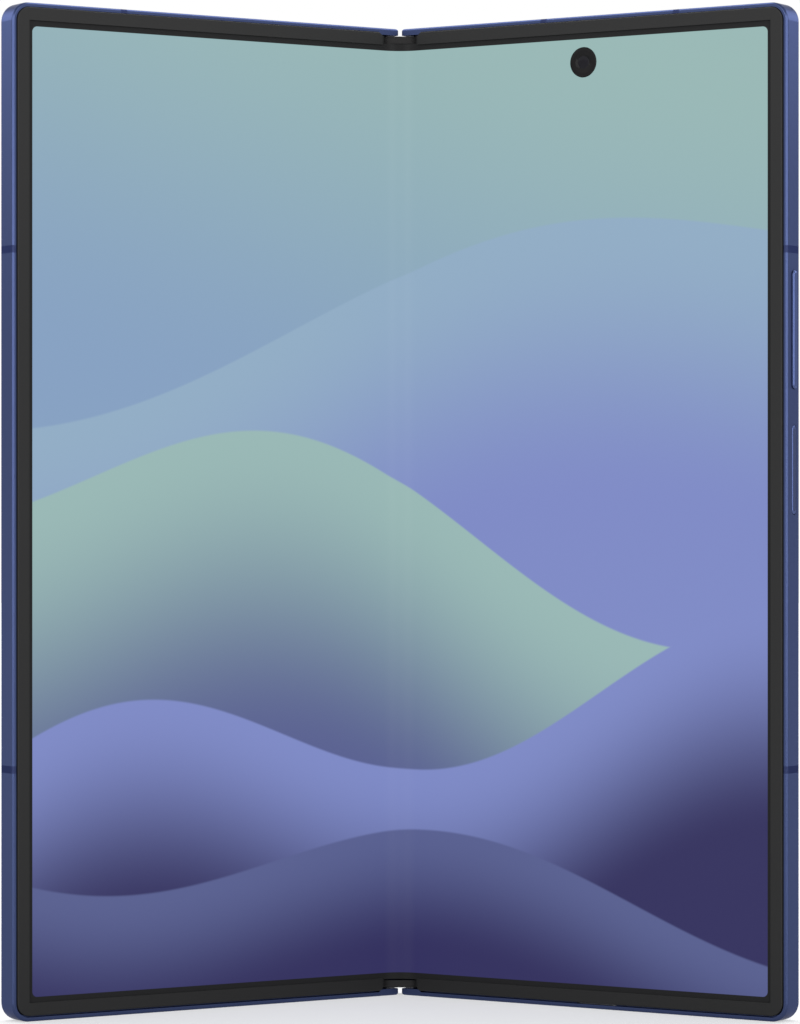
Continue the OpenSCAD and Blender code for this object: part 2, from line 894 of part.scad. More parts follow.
module hinge_ribbon_cables() {
    line = ribbon_line();
    upper = beside(line, -ribbon_t / 2);
    lower = beside(line, ribbon_t / 2);
    half = concat(upper, [for (i = [len(lower) - 1:-1:0]) lower[i]]);
    color([0.55, 0.35, 0.12]) in_spine()
        for (z = [mid_z - module_z / 2, mid_z + module_z / 2]) {
            translate([0, 0, z - ribbon_w / 2]) linear_extrude(ribbon_w) {
                polygon(half);
                mirror([1, 0]) polygon(half);
            }
        }
}

// ---------- outer glasses and cameras ----------

module glass_outline() {
    inset = rim_w + 0.05;
    difference() {
        box_outline(0, inset, half_width - inset, height - inset, corner_r - inset);
        translate([-1, -1]) square([rim_u + 0.05 + 1, height + 2]);
    }
}

island_z = height - island_top;
island_len = 2 * lens_pitch + island_w;
flash_u = island_u - island_w / 2 - 5;
flash_z = island_z + lens_pitch;
lens_places = [island_z - lens_pitch, island_z, island_z + lens_pitch];

module rear_glass() {
    color(glass_blue) in_right_half()
        plate(back_v, thickness) difference() {
            glass_outline();
            translate([island_u, island_z]) rotate(90)
                stadium(island_len + 0.1, island_w + 0.1);
            translate([flash_u, flash_z]) circle(2.1);
        }
}

module flash_window() {
    color([0.95, 0.93, 0.8]) in_right_half()
        plate(back_v - 0.3, thickness + 0.05)
            translate([flash_u, flash_z]) circle(2.05);
}

module cover_glass() {
    color([0.05, 0.05, 0.07]) in_left_half() plate(back_v, thickness) glass_outline();
}

module cover_display_panel() {
    color([0.08, 0.08, 0.1]) in_left_half()
        plate(back_v - 0.6, back_v - 0.01) difference() {
            box_outline(rail_u + 0.6, wall + 1, half_width - wall - 1, height - wall - 1, 1.5);
            translate([cover_cam_u, cover_cam_z]) circle(2.6);
        }
}

// Places round the lens axes, facing backwards from depth v
module at_lenses(v) {
    for (z = lens_places) {
        translate([island_u, v, z]) rotate([-90, 0, 0]) children();
    }
}

island_v = back_v - 0.2;
island_top_v = thickness + island_proud;

module camera_island() {
    color(metal) in_right_half() difference() {
        translate([island_u, island_v, island_z])
            rotate([-90, 90, 0]) pill(island_len, island_w, island_top_v - island_v, 0.45);
        at_lenses(island_v - 1) cylinder(r = ring_r - 0.75, h = 6);
        at_lenses(island_top_v - 0.4) cylinder(r = ring_r + 0.02, h = 2);
    }
}

module camera_lens_rings() {
    rise = ring_proud + 0.4;
    color(dark_metal) in_right_half()
        at_lenses(island_top_v - 0.4) rotate_extrude() polygon(concat(
            [[lens_r + 0.03, 0], [ring_r, 0]],
            arc([ring_r - 0.25, rise - 0.25], 0.25, 0, 90),
            [[lens_r + 0.33, rise], [lens_r + 0.03, rise - 0.3]]
        ));
}

module camera_lens_glasses() {
    color([0.04, 0.04, 0.06]) in_right_half()
        at_lenses(island_top_v - 0.1) cylinder(r = lens_r, h = ring_proud - 0.3);
}

module rear_camera_modules() {
    color([0.09, 0.09, 0.1]) in_right_half() {
        at_lenses(back_v - 0.6) cylinder(r = lens_r - 1.1, h = island_top_v - back_v + 0.45);
        for (z = lens_places) {
            translate([island_u - cam_block, plate_v + plate_t + 0.1, z - cam_block])
                cube([2 * cam_block, back_v - plate_v - plate_t - 0.5, 2 * cam_block]);
        }
    }
}

// ---------- inside the right half ----------

pocket_v = plate_v + plate_t + 0.05;

module slab(u0, z0, u1, z1, v0, v1, r = 0.8) {
    plate(v0, v1) box_outline(u0, z0, u1, z1, r);
}

board_z = height - board_len;
board_v = pocket_v + 0.65;
board_t = 0.5;
inner_u = foot_u + foot_len + 1.2; // clear of the hinge arms' feet
cell_u = half_width - wall - cell_side;
cam_block = lens_r - 0.2; // half width of a rear camera's body

module main_board() {
    cut = cam_block + 1;
    color(board_green) in_right_half() plate(board_v, board_v + board_t) difference() {
        box_outline(inner_u, board_z, half_width - wall - 2.4, height - wall - 1, 1);
        translate([island_u - cut, island_z - lens_pitch - cut])
            square([2 * cut, 2 * lens_pitch + 2 * cut]);
        translate([punch_u - small_cam - 0.6, height - punch_top - small_cam - 0.6])
            square([2 * small_cam + 1.2, punch_top + small_cam]);
    }
}

// Two columns and two rows of cans, one of them on the board's front
module board_shield_cans() {
    start = inner_u + 1.5;
    end = island_u - cam_block - 3.8;
    split = (start + end) / 2;
    top_row = [board_z + 0.45 * board_len, board_z + 0.75 * board_len];
    low_row = [board_z + 2, board_z + 0.4 * board_len];
    color(steel) in_right_half() {
        for (row = [low_row, top_row]) {
            slab(start, row[0], split - 1.5, row[1], board_v + board_t, back_v - 0.25);
        }
        slab(split + 1.5, low_row[0], end, low_row[1], board_v + board_t, back_v - 0.25);
        slab(split + 1.5, top_row[0], end, top_row[1], pocket_v + 0.05, board_v);
    }
}

module right_battery() {
    color(cell_grey) in_right_half()
        slab(inner_u, bay_h, cell_u, board_z - cell_gap, pocket_v, back_v - 0.3, 1.2);
}

module charging_coil() {
    color([0.75, 0.42, 0.2]) in_right_half()
        plate(back_v - 0.28, back_v - 0.02)
            translate([(rail_u + half_width) / 2, (bay_h + board_z - cell_gap) / 2]) difference() {
                circle(coil_r);
                circle(coil_in);
            }
}

socket_d = 7.2;

module usb_socket() {
    color(steel) in_right_half() {
        translate([usb_u, port_v, 0.05]) difference() {
            linear_extrude(socket_d) usb_outline(skin);
            translate([0, 0, -1]) linear_extrude(socket_d) usb_outline(0);
        }
        translate([usb_u - 0.4 * usb_w, port_v - 0.35, 1]) cube([0.8 * usb_w, 0.7, socket_d - 1.2]);
    }
}

lower_v = back_v - 0.7; // front of the small board in the bottom bay

module lower_board() {
    color(board_green) in_right_half() plate(lower_v, lower_v + 0.4) difference() {
        box_outline(inner_u, wall + 1, speaker_u - speaker_half - 2, bay_h - cell_gap, 1);
        translate([usb_u - usb_w / 2 - 0.4, 0]) square([usb_w + 0.8, socket_d + 0.4]);
    }
}

module bottom_speaker() {
    color([0.12, 0.12, 0.13]) in_right_half()
        slab(
            speaker_u - speaker_half, wall + 0.1, half_width - wall - cell_side + 1,
            wall + 0.1 + speaker_len, pocket_v, back_v - 0.15, 1.2
        );
}

module vibration_motor() {
    color(steel) in_right_half()
        slab(
            inner_u + 1, (bay_h - motor_side / 2) / 2, inner_u + 1 + motor_side,
            bay_h / 2 + 0.75 * motor_side, pocket_v, lower_v - 0.05, 1
        );
}

// A strip behind the keys, carried by small posts of the middle plate
flex_w = wall + 0.85 + key_travel;

module key_flex() {
    color([0.55, 0.35, 0.12]) in_right_half()
        translate([half_width - flex_w - 0.3, pocket_v, mid_z + power_z - power_len / 2])
            cube([0.3, back_v - pocket_v - 0.3, volume_z - power_z + (power_len + volume_len) / 2]);
}

module key_domes() {
    color(steel) in_right_half()
        for (z = [volume_z - volume_len / 3, volume_z + volume_len / 3, power_z]) {
            side_prism(flex_w - 0.22, flex_w - eps, mid_z + z)
                translate([0, key_v]) circle(0.6);
        }
}

module right_magnets() {
    color([0.5, 0.5, 0.52]) in_right_half() magnet_set();
}

module left_magnets() {
    color([0.5, 0.5, 0.52]) in_left_half() magnet_set();
}

module magnet_set() {
    for (z = [0.25 * height, 0.4 * height]) {
        translate([half_width - wall - 1.3 * magnet_w, pocket_v, z])
            cube([magnet_w, 0.7 * magnet_w, magnet_len]);
    }
}

// ---------- keys ----------

// A key's head in its slot, and the flange that keeps it in
module key(len, proud, z, edge) {
    translate([half_width + proud, key_v, mid_z + z])
        rotate([0, 0, 180]) mirror([1, 0, -1])
            translate([0, 0, wall + proud]) mirror([0, 0, 1])
                pill(len, key_w, wall + proud, edge);
    side_prism(wall - eps, wall + 0.4, mid_z + z)
        translate([0, key_v]) stadium(len - 0.6, key_w - 0.2);
    side_prism(wall + 0.25 + key_gap, wall + 0.5, mid_z + z)
        translate([0, key_v]) stadium(len + 1, key_w);
}

module volume_key() {
    color(metal) in_right_half() key(volume_len, volume_proud, volume_z, 0.35);
}

module power_key() {
    color(metal) in_right_half() difference() {
        key(power_len, power_proud, power_z, 0.2);
        power_pad(0.25 + eps, eps);
    }
}

module power_pad(depth, extra) {
    side_prism(-power_proud - extra, depth - power_proud, mid_z + power_z)
        translate([0, key_v]) stadium(power_len - 1.2 + 2 * extra, key_w - 0.5 + 2 * extra);
}

module power_key_pad() {
    color(dark_metal) in_right_half() power_pad(0.25, 0);
}

// ---------- inside the left half ----------

cover_cam_u = mid_u + 1.2;
cover_cam_z = height - small_cam - 5.3;
ear_u = half_width - 14;

module cover_camera_module() {
    color([0.1, 0.1, 0.11]) in_left_half() {
        plate(pocket_v, back_v - 0.7)
            translate([cover_cam_u - small_cam, cover_cam_z - small_cam]) square(2 * small_cam);
        plate(2, back_v - 0.02) translate([cover_cam_u, cover_cam_z]) circle(2.2);
    }
}

module earpiece_speaker() {
    color([0.12, 0.12, 0.13]) in_left_half()
        slab(
            ear_u - 0.8 * ear_len, height - wall - ear_len, ear_u + 0.8 * ear_len,
            height - wall - 0.1, pocket_v, back_v - 0.65
        );
}

module left_battery() {
    color(cell_grey) in_left_half()
        slab(inner_u, bay_h, cell_u, height - left_bay_h, pocket_v, back_v - 0.65, 1.2);
}

// A board with two shielded chips on its front
module left_board() {
    long = cell_u - inner_u;
    color(board_green) in_left_half() {
        slab(inner_u, wall + 1, cell_u, bay_h - cell_gap, board_v, board_v + 0.4, 1);
        for (chip = [[0.07, 0.43], [0.5, 0.79]]) {
            slab(
                inner_u + chip[0] * long, 0.2 * bay_h, inner_u + chip[1] * long,
                0.75 * bay_h, pocket_v + 0.1, board_v, 0.6
            );
        }
    }
}

tray_face = 1.7;
tray_t = 0.9;
tray_plate_w = tray_w - 3.2;

module tray_reader() {
    color(steel) in_left_half()
        difference() {
            translate([tray_u - tray_plate_w / 2 - 0.3, port_v - 0.75, height - wall - tray_d - 0.5])
                cube([tray_plate_w + 0.6, 1.3, tray_d + 0.4]);
            translate([tray_u - tray_plate_w / 2 - 0.1, port_v - 0.65, height - wall - tray_d])
                cube([tray_plate_w + 0.2, 1.1, tray_d + 1]);
        }
}

module card_tray() {
    plate_z = height - wall - tray_d + 0.3;
    color(metal) in_left_half() {
        difference() {
            translate([tray_u - tray_w / 2, port_v - tray_face / 2, height - wall + 0.1])
                cube([tray_w, tray_face, wall - 0.12]);
            translate([tray_u + tray_w / 2 - 1.6, port_v, height - wall]) cylinder(r = 0.4, h = wall + 1);
        }
        difference() {
            translate([tray_u - tray_plate_w / 2, port_v - 0.55, plate_z])
                cube([tray_plate_w, tray_t, height - wall - plate_z + 0.2]);
            for (z = [plate_z + 1, plate_z + 10.2]) {
                translate([tray_u - tray_plate_w / 2 + 1, port_v - 0.35, z])
                    cube([tray_plate_w - 2, tray_t, 8.5]);
            }
        }
    }
}

hinge_spine_cover();
hinge_end_caps();
hinge_brackets();
hinge_gear_pins();
fold_support_plate();
hinge_ribbon_cables();
display_fold_zone();
right_idler_gears();
left_idler_gears();
right_frame();
right_bezel_trim();
right_display_zone();
right_support_plate();
right_hinge_arms();
right_hinge_screws();
right_antenna_bands();
rear_glass();
camera_island();
camera_lens_rings();
camera_lens_glasses();
rear_camera_modules();
flash_window();
front_camera_window();
front_camera_module();
main_board();
board_shield_cans();
right_battery();
charging_coil();
usb_socket();
bottom_speaker();
vibration_motor();
lower_board();
key_flex();
key_domes();
right_magnets();
volume_key();
power_key();
power_key_pad();
left_frame();
left_bezel_trim();
left_display_zone();
left_support_plate();
left_hinge_arms();
left_hinge_screws();
left_antenna_bands();
cover_glass();
cover_display_panel();
cover_camera_module();
earpiece_speaker();
left_battery();
left_board();
left_magnets();
tray_reader();
card_tray();
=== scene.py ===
import json
import math

import bmesh
import bpy
from bpy.props import FloatProperty, FloatVectorProperty, IntProperty, PointerProperty
from mathutils import Matrix, Vector


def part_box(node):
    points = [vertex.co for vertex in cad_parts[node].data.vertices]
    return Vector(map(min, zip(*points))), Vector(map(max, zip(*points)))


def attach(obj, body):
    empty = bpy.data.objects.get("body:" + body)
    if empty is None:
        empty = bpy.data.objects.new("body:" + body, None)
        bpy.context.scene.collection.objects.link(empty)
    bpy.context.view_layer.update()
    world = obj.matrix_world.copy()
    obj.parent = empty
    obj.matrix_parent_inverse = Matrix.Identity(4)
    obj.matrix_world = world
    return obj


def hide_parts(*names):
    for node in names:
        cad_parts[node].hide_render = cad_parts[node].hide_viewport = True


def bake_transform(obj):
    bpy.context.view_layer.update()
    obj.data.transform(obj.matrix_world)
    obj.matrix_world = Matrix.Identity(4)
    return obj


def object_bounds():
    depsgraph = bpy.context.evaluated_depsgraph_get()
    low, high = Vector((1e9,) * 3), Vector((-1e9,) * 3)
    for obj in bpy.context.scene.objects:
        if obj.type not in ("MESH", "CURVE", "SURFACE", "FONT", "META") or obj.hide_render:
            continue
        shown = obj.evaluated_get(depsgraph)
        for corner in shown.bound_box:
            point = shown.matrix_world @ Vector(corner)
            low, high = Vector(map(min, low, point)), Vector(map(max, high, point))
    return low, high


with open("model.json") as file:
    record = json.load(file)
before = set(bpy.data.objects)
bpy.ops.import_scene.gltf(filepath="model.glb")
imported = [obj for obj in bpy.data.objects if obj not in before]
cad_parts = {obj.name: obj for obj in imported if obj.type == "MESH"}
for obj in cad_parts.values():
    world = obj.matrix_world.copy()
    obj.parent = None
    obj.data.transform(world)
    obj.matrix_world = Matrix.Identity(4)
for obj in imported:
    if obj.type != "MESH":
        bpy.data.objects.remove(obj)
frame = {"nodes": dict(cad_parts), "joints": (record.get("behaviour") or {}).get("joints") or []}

bl_info = {
    "name": "Foldable smartphone",
    "version": (1, 0, 0),
    "blender": (4, 5, 0),
    "location": "View3D > Sidebar > Phone",
    "description": "Dresses the solids of a foldable smartphone and sets its studio",
    "category": "Object",
}

MM = 0.001
CAD_BOX = [list(corner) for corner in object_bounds()]
HEIGHT = CAD_BOX[1][2]
JOINTS = {joint["name"]: joint for joint in frame["joints"]}
# Each half's angle from flat in the photographed pose, and the axis that it turns about, in
# metres: U from the fold line, V behind the front lip
FOLD = math.radians(32.5)
AXIS_U = JOINTS["right_fold"]["pos_m"][0]
AXIS_V = 1.0 * MM
CENTRE_Y = JOINTS["right_fold"]["pos_m"][1] - AXIS_V

# Places that the solids have, in millimetres on a half laid flat:
# u from the fold line, v back from the front lip, z up
BEND_U = 3.45
DISPLAY_V = 0.05
DISPLAY_T = 0.6
THICKNESS = 4.2
PORT_V = 2.2
USB_U = 37.0
SPEAKER_U = 56.0
SPEAKER_HOLES = 5
EAR_U = 57.6
EAR_HOLES = 3
HOLE_PITCH = 2.2
ISLAND_U = 59.0
ISLAND_Z = 127.4
LENS_PITCH = 15.5
ISLAND_TOP_V = 5.6
PUNCH_U = 35.05
PUNCH_Z = 151.0

# Sizes of what the scene adds to the solids, in millimetres. SHEET is the flat length that the
# bent strips' UV map spans, and END_ROW is how high their end faces are.
SHEET = 160.0
END_ROW = 0.4
CONTACTS = 12
CONTACT_PITCH = 0.5
CONTACT_SIZE = (0.26, 0.03, 3.6)
CONTACT_V = 0.36
CONTACT_Z = 4.6
HOLE_WIDTH = 0.98
WIRE_SIZE = 0.04
WIRE_LIFT = 0.03
MESH_DEPTH = 1.0
COIL_INNER = 12.2
COIL_OUTER = 20.8
COIL_WIRE = 0.12
BAND_EDGE = (-0.15, 0.35)
SCREEN_EDGE = (-0.03, 0.03)

# Outlines of the turned pieces: (radius, height) about the lens's axis, in millimetres
WINDOW_OUTLINE = [(0.0, -0.45), (2.42, -0.45), (2.42, -0.08), (2.38, -0.06), (1.20, -0.06),
                  (1.14, -0.10), (0.0, -0.10)]
RING_OUTLINE = [(1.15, -0.02), (2.1, -0.02), (2.1, 0.004), (2.05, 0.012), (1.2, 0.012),
                (1.15, 0.004)]
BARREL_OUTLINE = [(2.1, -0.10), (5.4, -0.10), (5.4, 0.42), (5.1, 0.42), (5.1, 0.30), (4.5, 0.30),
                  (4.3, 0.16), (3.6, 0.16), (3.4, 0.06), (2.5, 0.06), (2.1, -0.02)]
COVER_DISC_OUTLINE = [(0.0, 0.44), (5.38, 0.44), (5.38, 0.57), (5.35, 0.60), (0.0, 0.60)]
DOME_STEPS = 8
RIM_STEPS = 96
WINDOW_STEPS = 72
LENS_STEPS = 64
EYE_STEPS = 48

# The floor: its grey, its glow near the phone and far off, and how far off those are in metres
FLOOR_GREY = (0.46, 0.46, 0.46)
FLOOR_GLOW = (0.48, 1.0)
FLOOR_GLOW_FROM = (0.3, 1.4)
WHITE = (1.0, 1.0, 1.0)

# Edges that turn less than this are shaded smooth
SMOOTH_ANGLE = math.radians(35.0)
# Depth in metres of the finest bumps on metal and plastic
GRAIN_DEPTH = 2e-5
# Colour that the anodised metal turns to at grazing angles
EDGE_TINT = (0.56, 0.57, 0.65)


# ---------- places ----------

def half_matrix(side):
    """Turns flat millimetres (u, v, z) into the part's metres. side is 1 for the right half."""
    to_axis = Matrix.Translation((-AXIS_U / MM, -AXIS_V / MM, 0))
    swing = Matrix.Rotation(-FOLD, 4, "Z")
    back = Matrix.Translation((AXIS_U / MM, AXIS_V / MM, 0))
    world = Matrix.Translation((0, CENTRE_Y, 0)) @ Matrix.Scale(MM, 4)
    mirror = Matrix.Diagonal((side, 1, 1, 1))
    return mirror @ world @ back @ swing @ to_axis


def half_point(u, v, z, side=1):
    """A place on a half laid flat, in the part's metres."""
    return half_matrix(side) @ Vector((u, v, z))


def lens_matrix(side, u, v, z, face):
    """Stands turned pieces on a half, along its front's normal (face 1) or its back's (face -1)."""
    turn = Matrix.Rotation(face * math.pi / 2, 4, "X")
    return half_matrix(side) @ Matrix.Translation((u, v, z)) @ turn


def bow_v():
    """Depth v of the axis that the bent zone's arc runs round, in millimetres."""
    reach = AXIS_U / MM + (BEND_U - AXIS_U / MM) * math.cos(FOLD)
    return AXIS_V / MM - reach / math.sin(FOLD)


def bend_start():
    """Flat distance that the bend's inner face leaves out at the fold, in millimetres."""
    return BEND_U - (DISPLAY_V - bow_v()) * FOLD


# ---------- meshes ----------

def add_piece(name, mesh, body, material):
    """A finished mesh becomes a piece, which rides on a body if one is named."""
    piece = bpy.data.objects.new(name, mesh)
    bpy.context.scene.collection.objects.link(piece)
    if not mesh.materials:
        mesh.materials.append(material)
    if body:
        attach(piece, body)
    return piece


def settle(mesh):
    """Merges doubles, turns the faces outwards and smooths shallow edges."""
    form = bmesh.new()
    form.from_mesh(mesh)
    bmesh.ops.remove_doubles(form, verts=form.verts, dist=1e-7)
    bmesh.ops.recalc_face_normals(form, faces=form.faces)
    for face in form.faces:
        face.smooth = True
    for edge in form.edges:
        edge.smooth = len(edge.link_faces) == 2 and edge.calc_face_angle(math.pi) < SMOOTH_ANGLE
    form.to_mesh(mesh)
    form.free()


def revolved(outline, steps):
    """Points and faces of a closed (radius, height) outline turned about Z."""
    points, faces = [], []
    rows = len(outline)
    for step in range(steps):
        angle = 2 * math.pi * step / steps
        for radius, height in outline:
            points.append(Vector((radius * math.cos(angle), radius * math.sin(angle), height)))
    for step in range(steps):
        here, there = step * rows, (step + 1) % steps * rows
        for row in range(rows):
            following = (row + 1) % rows
            faces.append((here + row, there + row, there + following, here + following))
    return points, faces


def turned_piece(name, outline, steps, matrix, body, material, places=((0, 0, 0),)):
    """A piece turned from an outline about the matrix's Z, once at each place."""
    ring_points, ring_faces = revolved(outline, steps)
    points, faces = [], []
    for place in places:
        start = len(points)
        points += [matrix @ (point + Vector(place)) for point in ring_points]
        faces += [tuple(start + index for index in face) for face in ring_faces]
    mesh = bpy.data.meshes.new(name)
    mesh.from_pydata(points, [], faces)
    settle(mesh)
    return add_piece(name, mesh, body, material)


def lens_dome(radius, floor, rise, sink=0.0):
    """Outline of a low dome. With a sink, its rim goes that far down below the floor."""
    arc = [math.pi / 2 * step / DOME_STEPS for step in range(1, DOME_STEPS + 1)]
    rim = [(radius, floor - sink), (radius, floor)] if sink else [(radius, floor)]
    top = [(radius * math.cos(angle), floor + rise * math.sin(angle)) for angle in arc]
    return [(0.0, floor - sink)] + rim + top


def copy_of(node, name):
    """A merged copy of a CAD node's mesh."""
    mesh = frame["nodes"][node].data.copy()
    mesh.name = name
    mesh.materials.clear()
    settle(mesh)
    return mesh


def merged(name, meshes):
    """One mesh with outward normals takes the place of several."""
    form = bmesh.new()
    for mesh in meshes:
        form.from_mesh(mesh)
        bpy.data.meshes.remove(mesh)
    bmesh.ops.recalc_face_normals(form, faces=form.faces)
    mesh = bpy.data.meshes.new(name)
    form.to_mesh(mesh)
    form.free()
    return mesh


# ---------- node groups ----------

def node_group(name, kind, inputs, outputs):
    """A node group with named sockets; returns it with its two end nodes."""
    group = bpy.data.node_groups.new(name, kind)
    for in_out, sockets in (("INPUT", inputs), ("OUTPUT", outputs)):
        for label, socket_type, *value in sockets:
            socket = group.interface.new_socket(label, in_out=in_out, socket_type=socket_type)
            if value:
                socket.default_value = value[0]
    return group, group.nodes.new("NodeGroupInput"), group.nodes.new("NodeGroupOutput")


def shared_group(name, make):
    """A node group that is built at its first use."""
    return bpy.data.node_groups[name] if name in bpy.data.node_groups else make()


# ---------- geometry nodes ----------

def finish_tree(tree, geometry, start, end):
    """Ends a geometry tree with real geometry in the given material."""
    real = tree.nodes.new("GeometryNodeRealizeInstances")
    coat = tree.nodes.new("GeometryNodeSetMaterial")
    tree.links.new(geometry, real.inputs["Geometry"])
    tree.links.new(real.outputs["Geometry"], coat.inputs["Geometry"])
    tree.links.new(start.outputs["Material"], coat.inputs["Material"])
    tree.links.new(coat.outputs["Geometry"], end.inputs["Geometry"])
    return tree


def grown_mesh(name, tree, values):
    """Runs a geometry tree with the given inputs and returns the plain mesh it makes."""
    host = bpy.data.objects.new(name, bpy.data.meshes.new(name))
    bpy.context.scene.collection.objects.link(host)
    modifier = host.modifiers.new("Build", "NODES")
    modifier.node_group = tree
    sockets = {item.name: item.identifier for item in tree.interface.items_tree
               if item.in_out == "INPUT"}
    for label, value in values.items():
        modifier[sockets[label]] = value
    host.update_tag()
    shown = host.evaluated_get(bpy.context.evaluated_depsgraph_get())
    mesh = bpy.data.meshes.new_from_object(shown)
    mesh.name = name
    bpy.data.objects.remove(host)
    return mesh


def bar_row_tree():
    """Bars of one size in a straight row."""
    tree, start, end = node_group("Bar row", "GeometryNodeTree", [
        ("Geometry", "NodeSocketGeometry"),
        ("Count", "NodeSocketInt", 8),
        ("Step", "NodeSocketVector", (1.0, 0.0, 0.0)),
        ("Bar size", "NodeSocketVector", (0.3, 3.0, 0.05)),
        ("Material", "NodeSocketMaterial"),
    ], [("Geometry", "NodeSocketGeometry")])
    line = tree.nodes.new("GeometryNodeMeshLine")
    bar = tree.nodes.new("GeometryNodeMeshCube")
    copies = tree.nodes.new("GeometryNodeInstanceOnPoints")
    link = tree.links.new
    link(start.outputs["Count"], line.inputs["Count"])
    link(start.outputs["Step"], line.inputs["Offset"])
    link(start.outputs["Bar size"], bar.inputs["Size"])
    link(line.outputs["Mesh"], copies.inputs["Points"])
    link(bar.outputs["Mesh"], copies.inputs["Instance"])
    return finish_tree(tree, copies.outputs["Instances"], start, end)


def coil_tree():
    """A flat spiral of round wire."""
    tree, start, end = node_group("Coil windings", "GeometryNodeTree", [
        ("Geometry", "NodeSocketGeometry"),
        ("Turns", "NodeSocketFloat", 12.0),
        ("Inner radius", "NodeSocketFloat", 12.0),
        ("Outer radius", "NodeSocketFloat", 21.0),
        ("Wire radius", "NodeSocketFloat", 0.12),
        ("Material", "NodeSocketMaterial"),
    ], [("Geometry", "NodeSocketGeometry")])
    spiral = tree.nodes.new("GeometryNodeCurveSpiral")
    spiral.inputs["Resolution"].default_value = 90
    spiral.inputs["Height"].default_value = 0.0
    section = tree.nodes.new("GeometryNodeCurvePrimitiveCircle")
    section.inputs["Resolution"].default_value = 6
    sweep = tree.nodes.new("GeometryNodeCurveToMesh")
    sweep.inputs["Fill Caps"].default_value = True
    link = tree.links.new
    link(start.outputs["Turns"], spiral.inputs["Rotations"])
    link(start.outputs["Inner radius"], spiral.inputs["Start Radius"])
    link(start.outputs["Outer radius"], spiral.inputs["End Radius"])
    link(start.outputs["Wire radius"], section.inputs["Radius"])
    link(spiral.outputs["Curve"], sweep.inputs["Curve"])
    link(section.outputs["Curve"], sweep.inputs["Profile Curve"])
    return finish_tree(tree, sweep.outputs["Mesh"], start, end)


# ---------- shader groups ----------

def wire(tree, value, socket):
    """Links a socket, or writes a number or a colour."""
    if isinstance(value, bpy.types.NodeSocket):
        tree.links.new(value, socket)
    elif socket.type == "RGBA":
        socket.default_value = (*value[:3], 1.0)
    else:
        socket.default_value = value


def calc(tree, operation, *values):
    """A sum, product or other function of numbers and sockets."""
    node = tree.nodes.new("ShaderNodeMath")
    node.operation = operation
    for index, value in enumerate(values):
        wire(tree, value, node.inputs[index])
    return node.outputs[0]


def eased(tree, value, low, high):
    """A smooth mask that is 0 below low and 1 above high."""
    node = tree.nodes.new("ShaderNodeMapRange")
    node.interpolation_type = "SMOOTHSTEP"
    wire(tree, value, node.inputs["Value"])
    wire(tree, low, node.inputs["From Min"])
    wire(tree, high, node.inputs["From Max"])
    return node.outputs["Result"]


def ranged(tree, value, low, high, start=0.0, stop=1.0):
    """Maps the values from start to stop onto those from low to high."""
    node = tree.nodes.new("ShaderNodeMapRange")
    wire(tree, value, node.inputs["Value"])
    wire(tree, start, node.inputs["From Min"])
    wire(tree, stop, node.inputs["From Max"])
    wire(tree, low, node.inputs["To Min"])
    wire(tree, high, node.inputs["To Max"])
    return node.outputs["Result"]


def blended(tree, mask, first, second):
    """Mixes two colours by a mask."""
    node = tree.nodes.new("ShaderNodeMix")
    node.data_type = "RGBA"
    wire(tree, mask, node.inputs[0])
    wire(tree, first, node.inputs[6])
    wire(tree, second, node.inputs[7])
    return node.outputs[2]


def object_point(tree):
    return tree.nodes.new("ShaderNodeTexCoord").outputs["Object"]


def noise(tree, point, scale, detail, roughness):
    node = tree.nodes.new("ShaderNodeTexNoise")
    wire(tree, point, node.inputs["Vector"])
    wire(tree, scale, node.inputs["Scale"])
    wire(tree, detail, node.inputs["Detail"])
    wire(tree, roughness, node.inputs["Roughness"])
    return node.outputs["Fac"]


def blasted_grain_group():
    """Fine even grain of a blasted or moulded surface, with a slow drift of its tone."""
    group, start, end = node_group(
        "Blasted grain", "ShaderNodeTree",
        [("Grains per metre", "NodeSocketFloat", 9000.0),
         ("Drift per metre", "NodeSocketFloat", 40.0)],
        [("Height", "NodeSocketFloat"), ("Tone", "NodeSocketFloat")])
    point = object_point(group)
    fine = noise(group, point, start.outputs["Grains per metre"], 3.0, 0.6)
    slow = noise(group, point, start.outputs["Drift per metre"], 2.0, 0.5)
    mixed = calc(group, "ADD", calc(group, "MULTIPLY", fine, 0.5),
                 calc(group, "MULTIPLY", slow, 0.5))
    wire(group, fine, end.inputs["Height"])
    wire(group, mixed, end.inputs["Tone"])
    return group


def brushed_lines_group():
    """Long fine scratches along the phone's height."""
    group, start, end = node_group(
        "Brushed lines", "ShaderNodeTree",
        [("Lines per metre", "NodeSocketFloat", 14000.0), ("Stretch", "NodeSocketFloat", 0.02)],
        [("Height", "NodeSocketFloat"), ("Tone", "NodeSocketFloat")])
    scale = group.nodes.new("ShaderNodeCombineXYZ")
    scale.inputs[0].default_value = 1.0
    scale.inputs[1].default_value = 1.0
    wire(group, start.outputs["Stretch"], scale.inputs[2])
    stretched = group.nodes.new("ShaderNodeVectorMath")
    stretched.operation = "MULTIPLY"
    wire(group, object_point(group), stretched.inputs[0])
    wire(group, scale.outputs[0], stretched.inputs[1])
    lines = noise(group, stretched.outputs[0], start.outputs["Lines per metre"], 3.0, 0.65)
    wire(group, lines, end.inputs["Height"])
    wire(group, lines, end.inputs["Tone"])
    return group


def handled_gloss_group():
    """Faint cloudy marks that a polished face picks up in the hand."""
    group, start, end = node_group(
        "Handled gloss", "ShaderNodeTree",
        [("Marks per metre", "NodeSocketFloat", 70.0)], [("Mask", "NodeSocketFloat")])
    cloud = noise(group, object_point(group), start.outputs["Marks per metre"], 4.0, 0.55)
    wire(group, eased(group, cloud, 0.42, 0.72), end.inputs["Mask"])
    return group


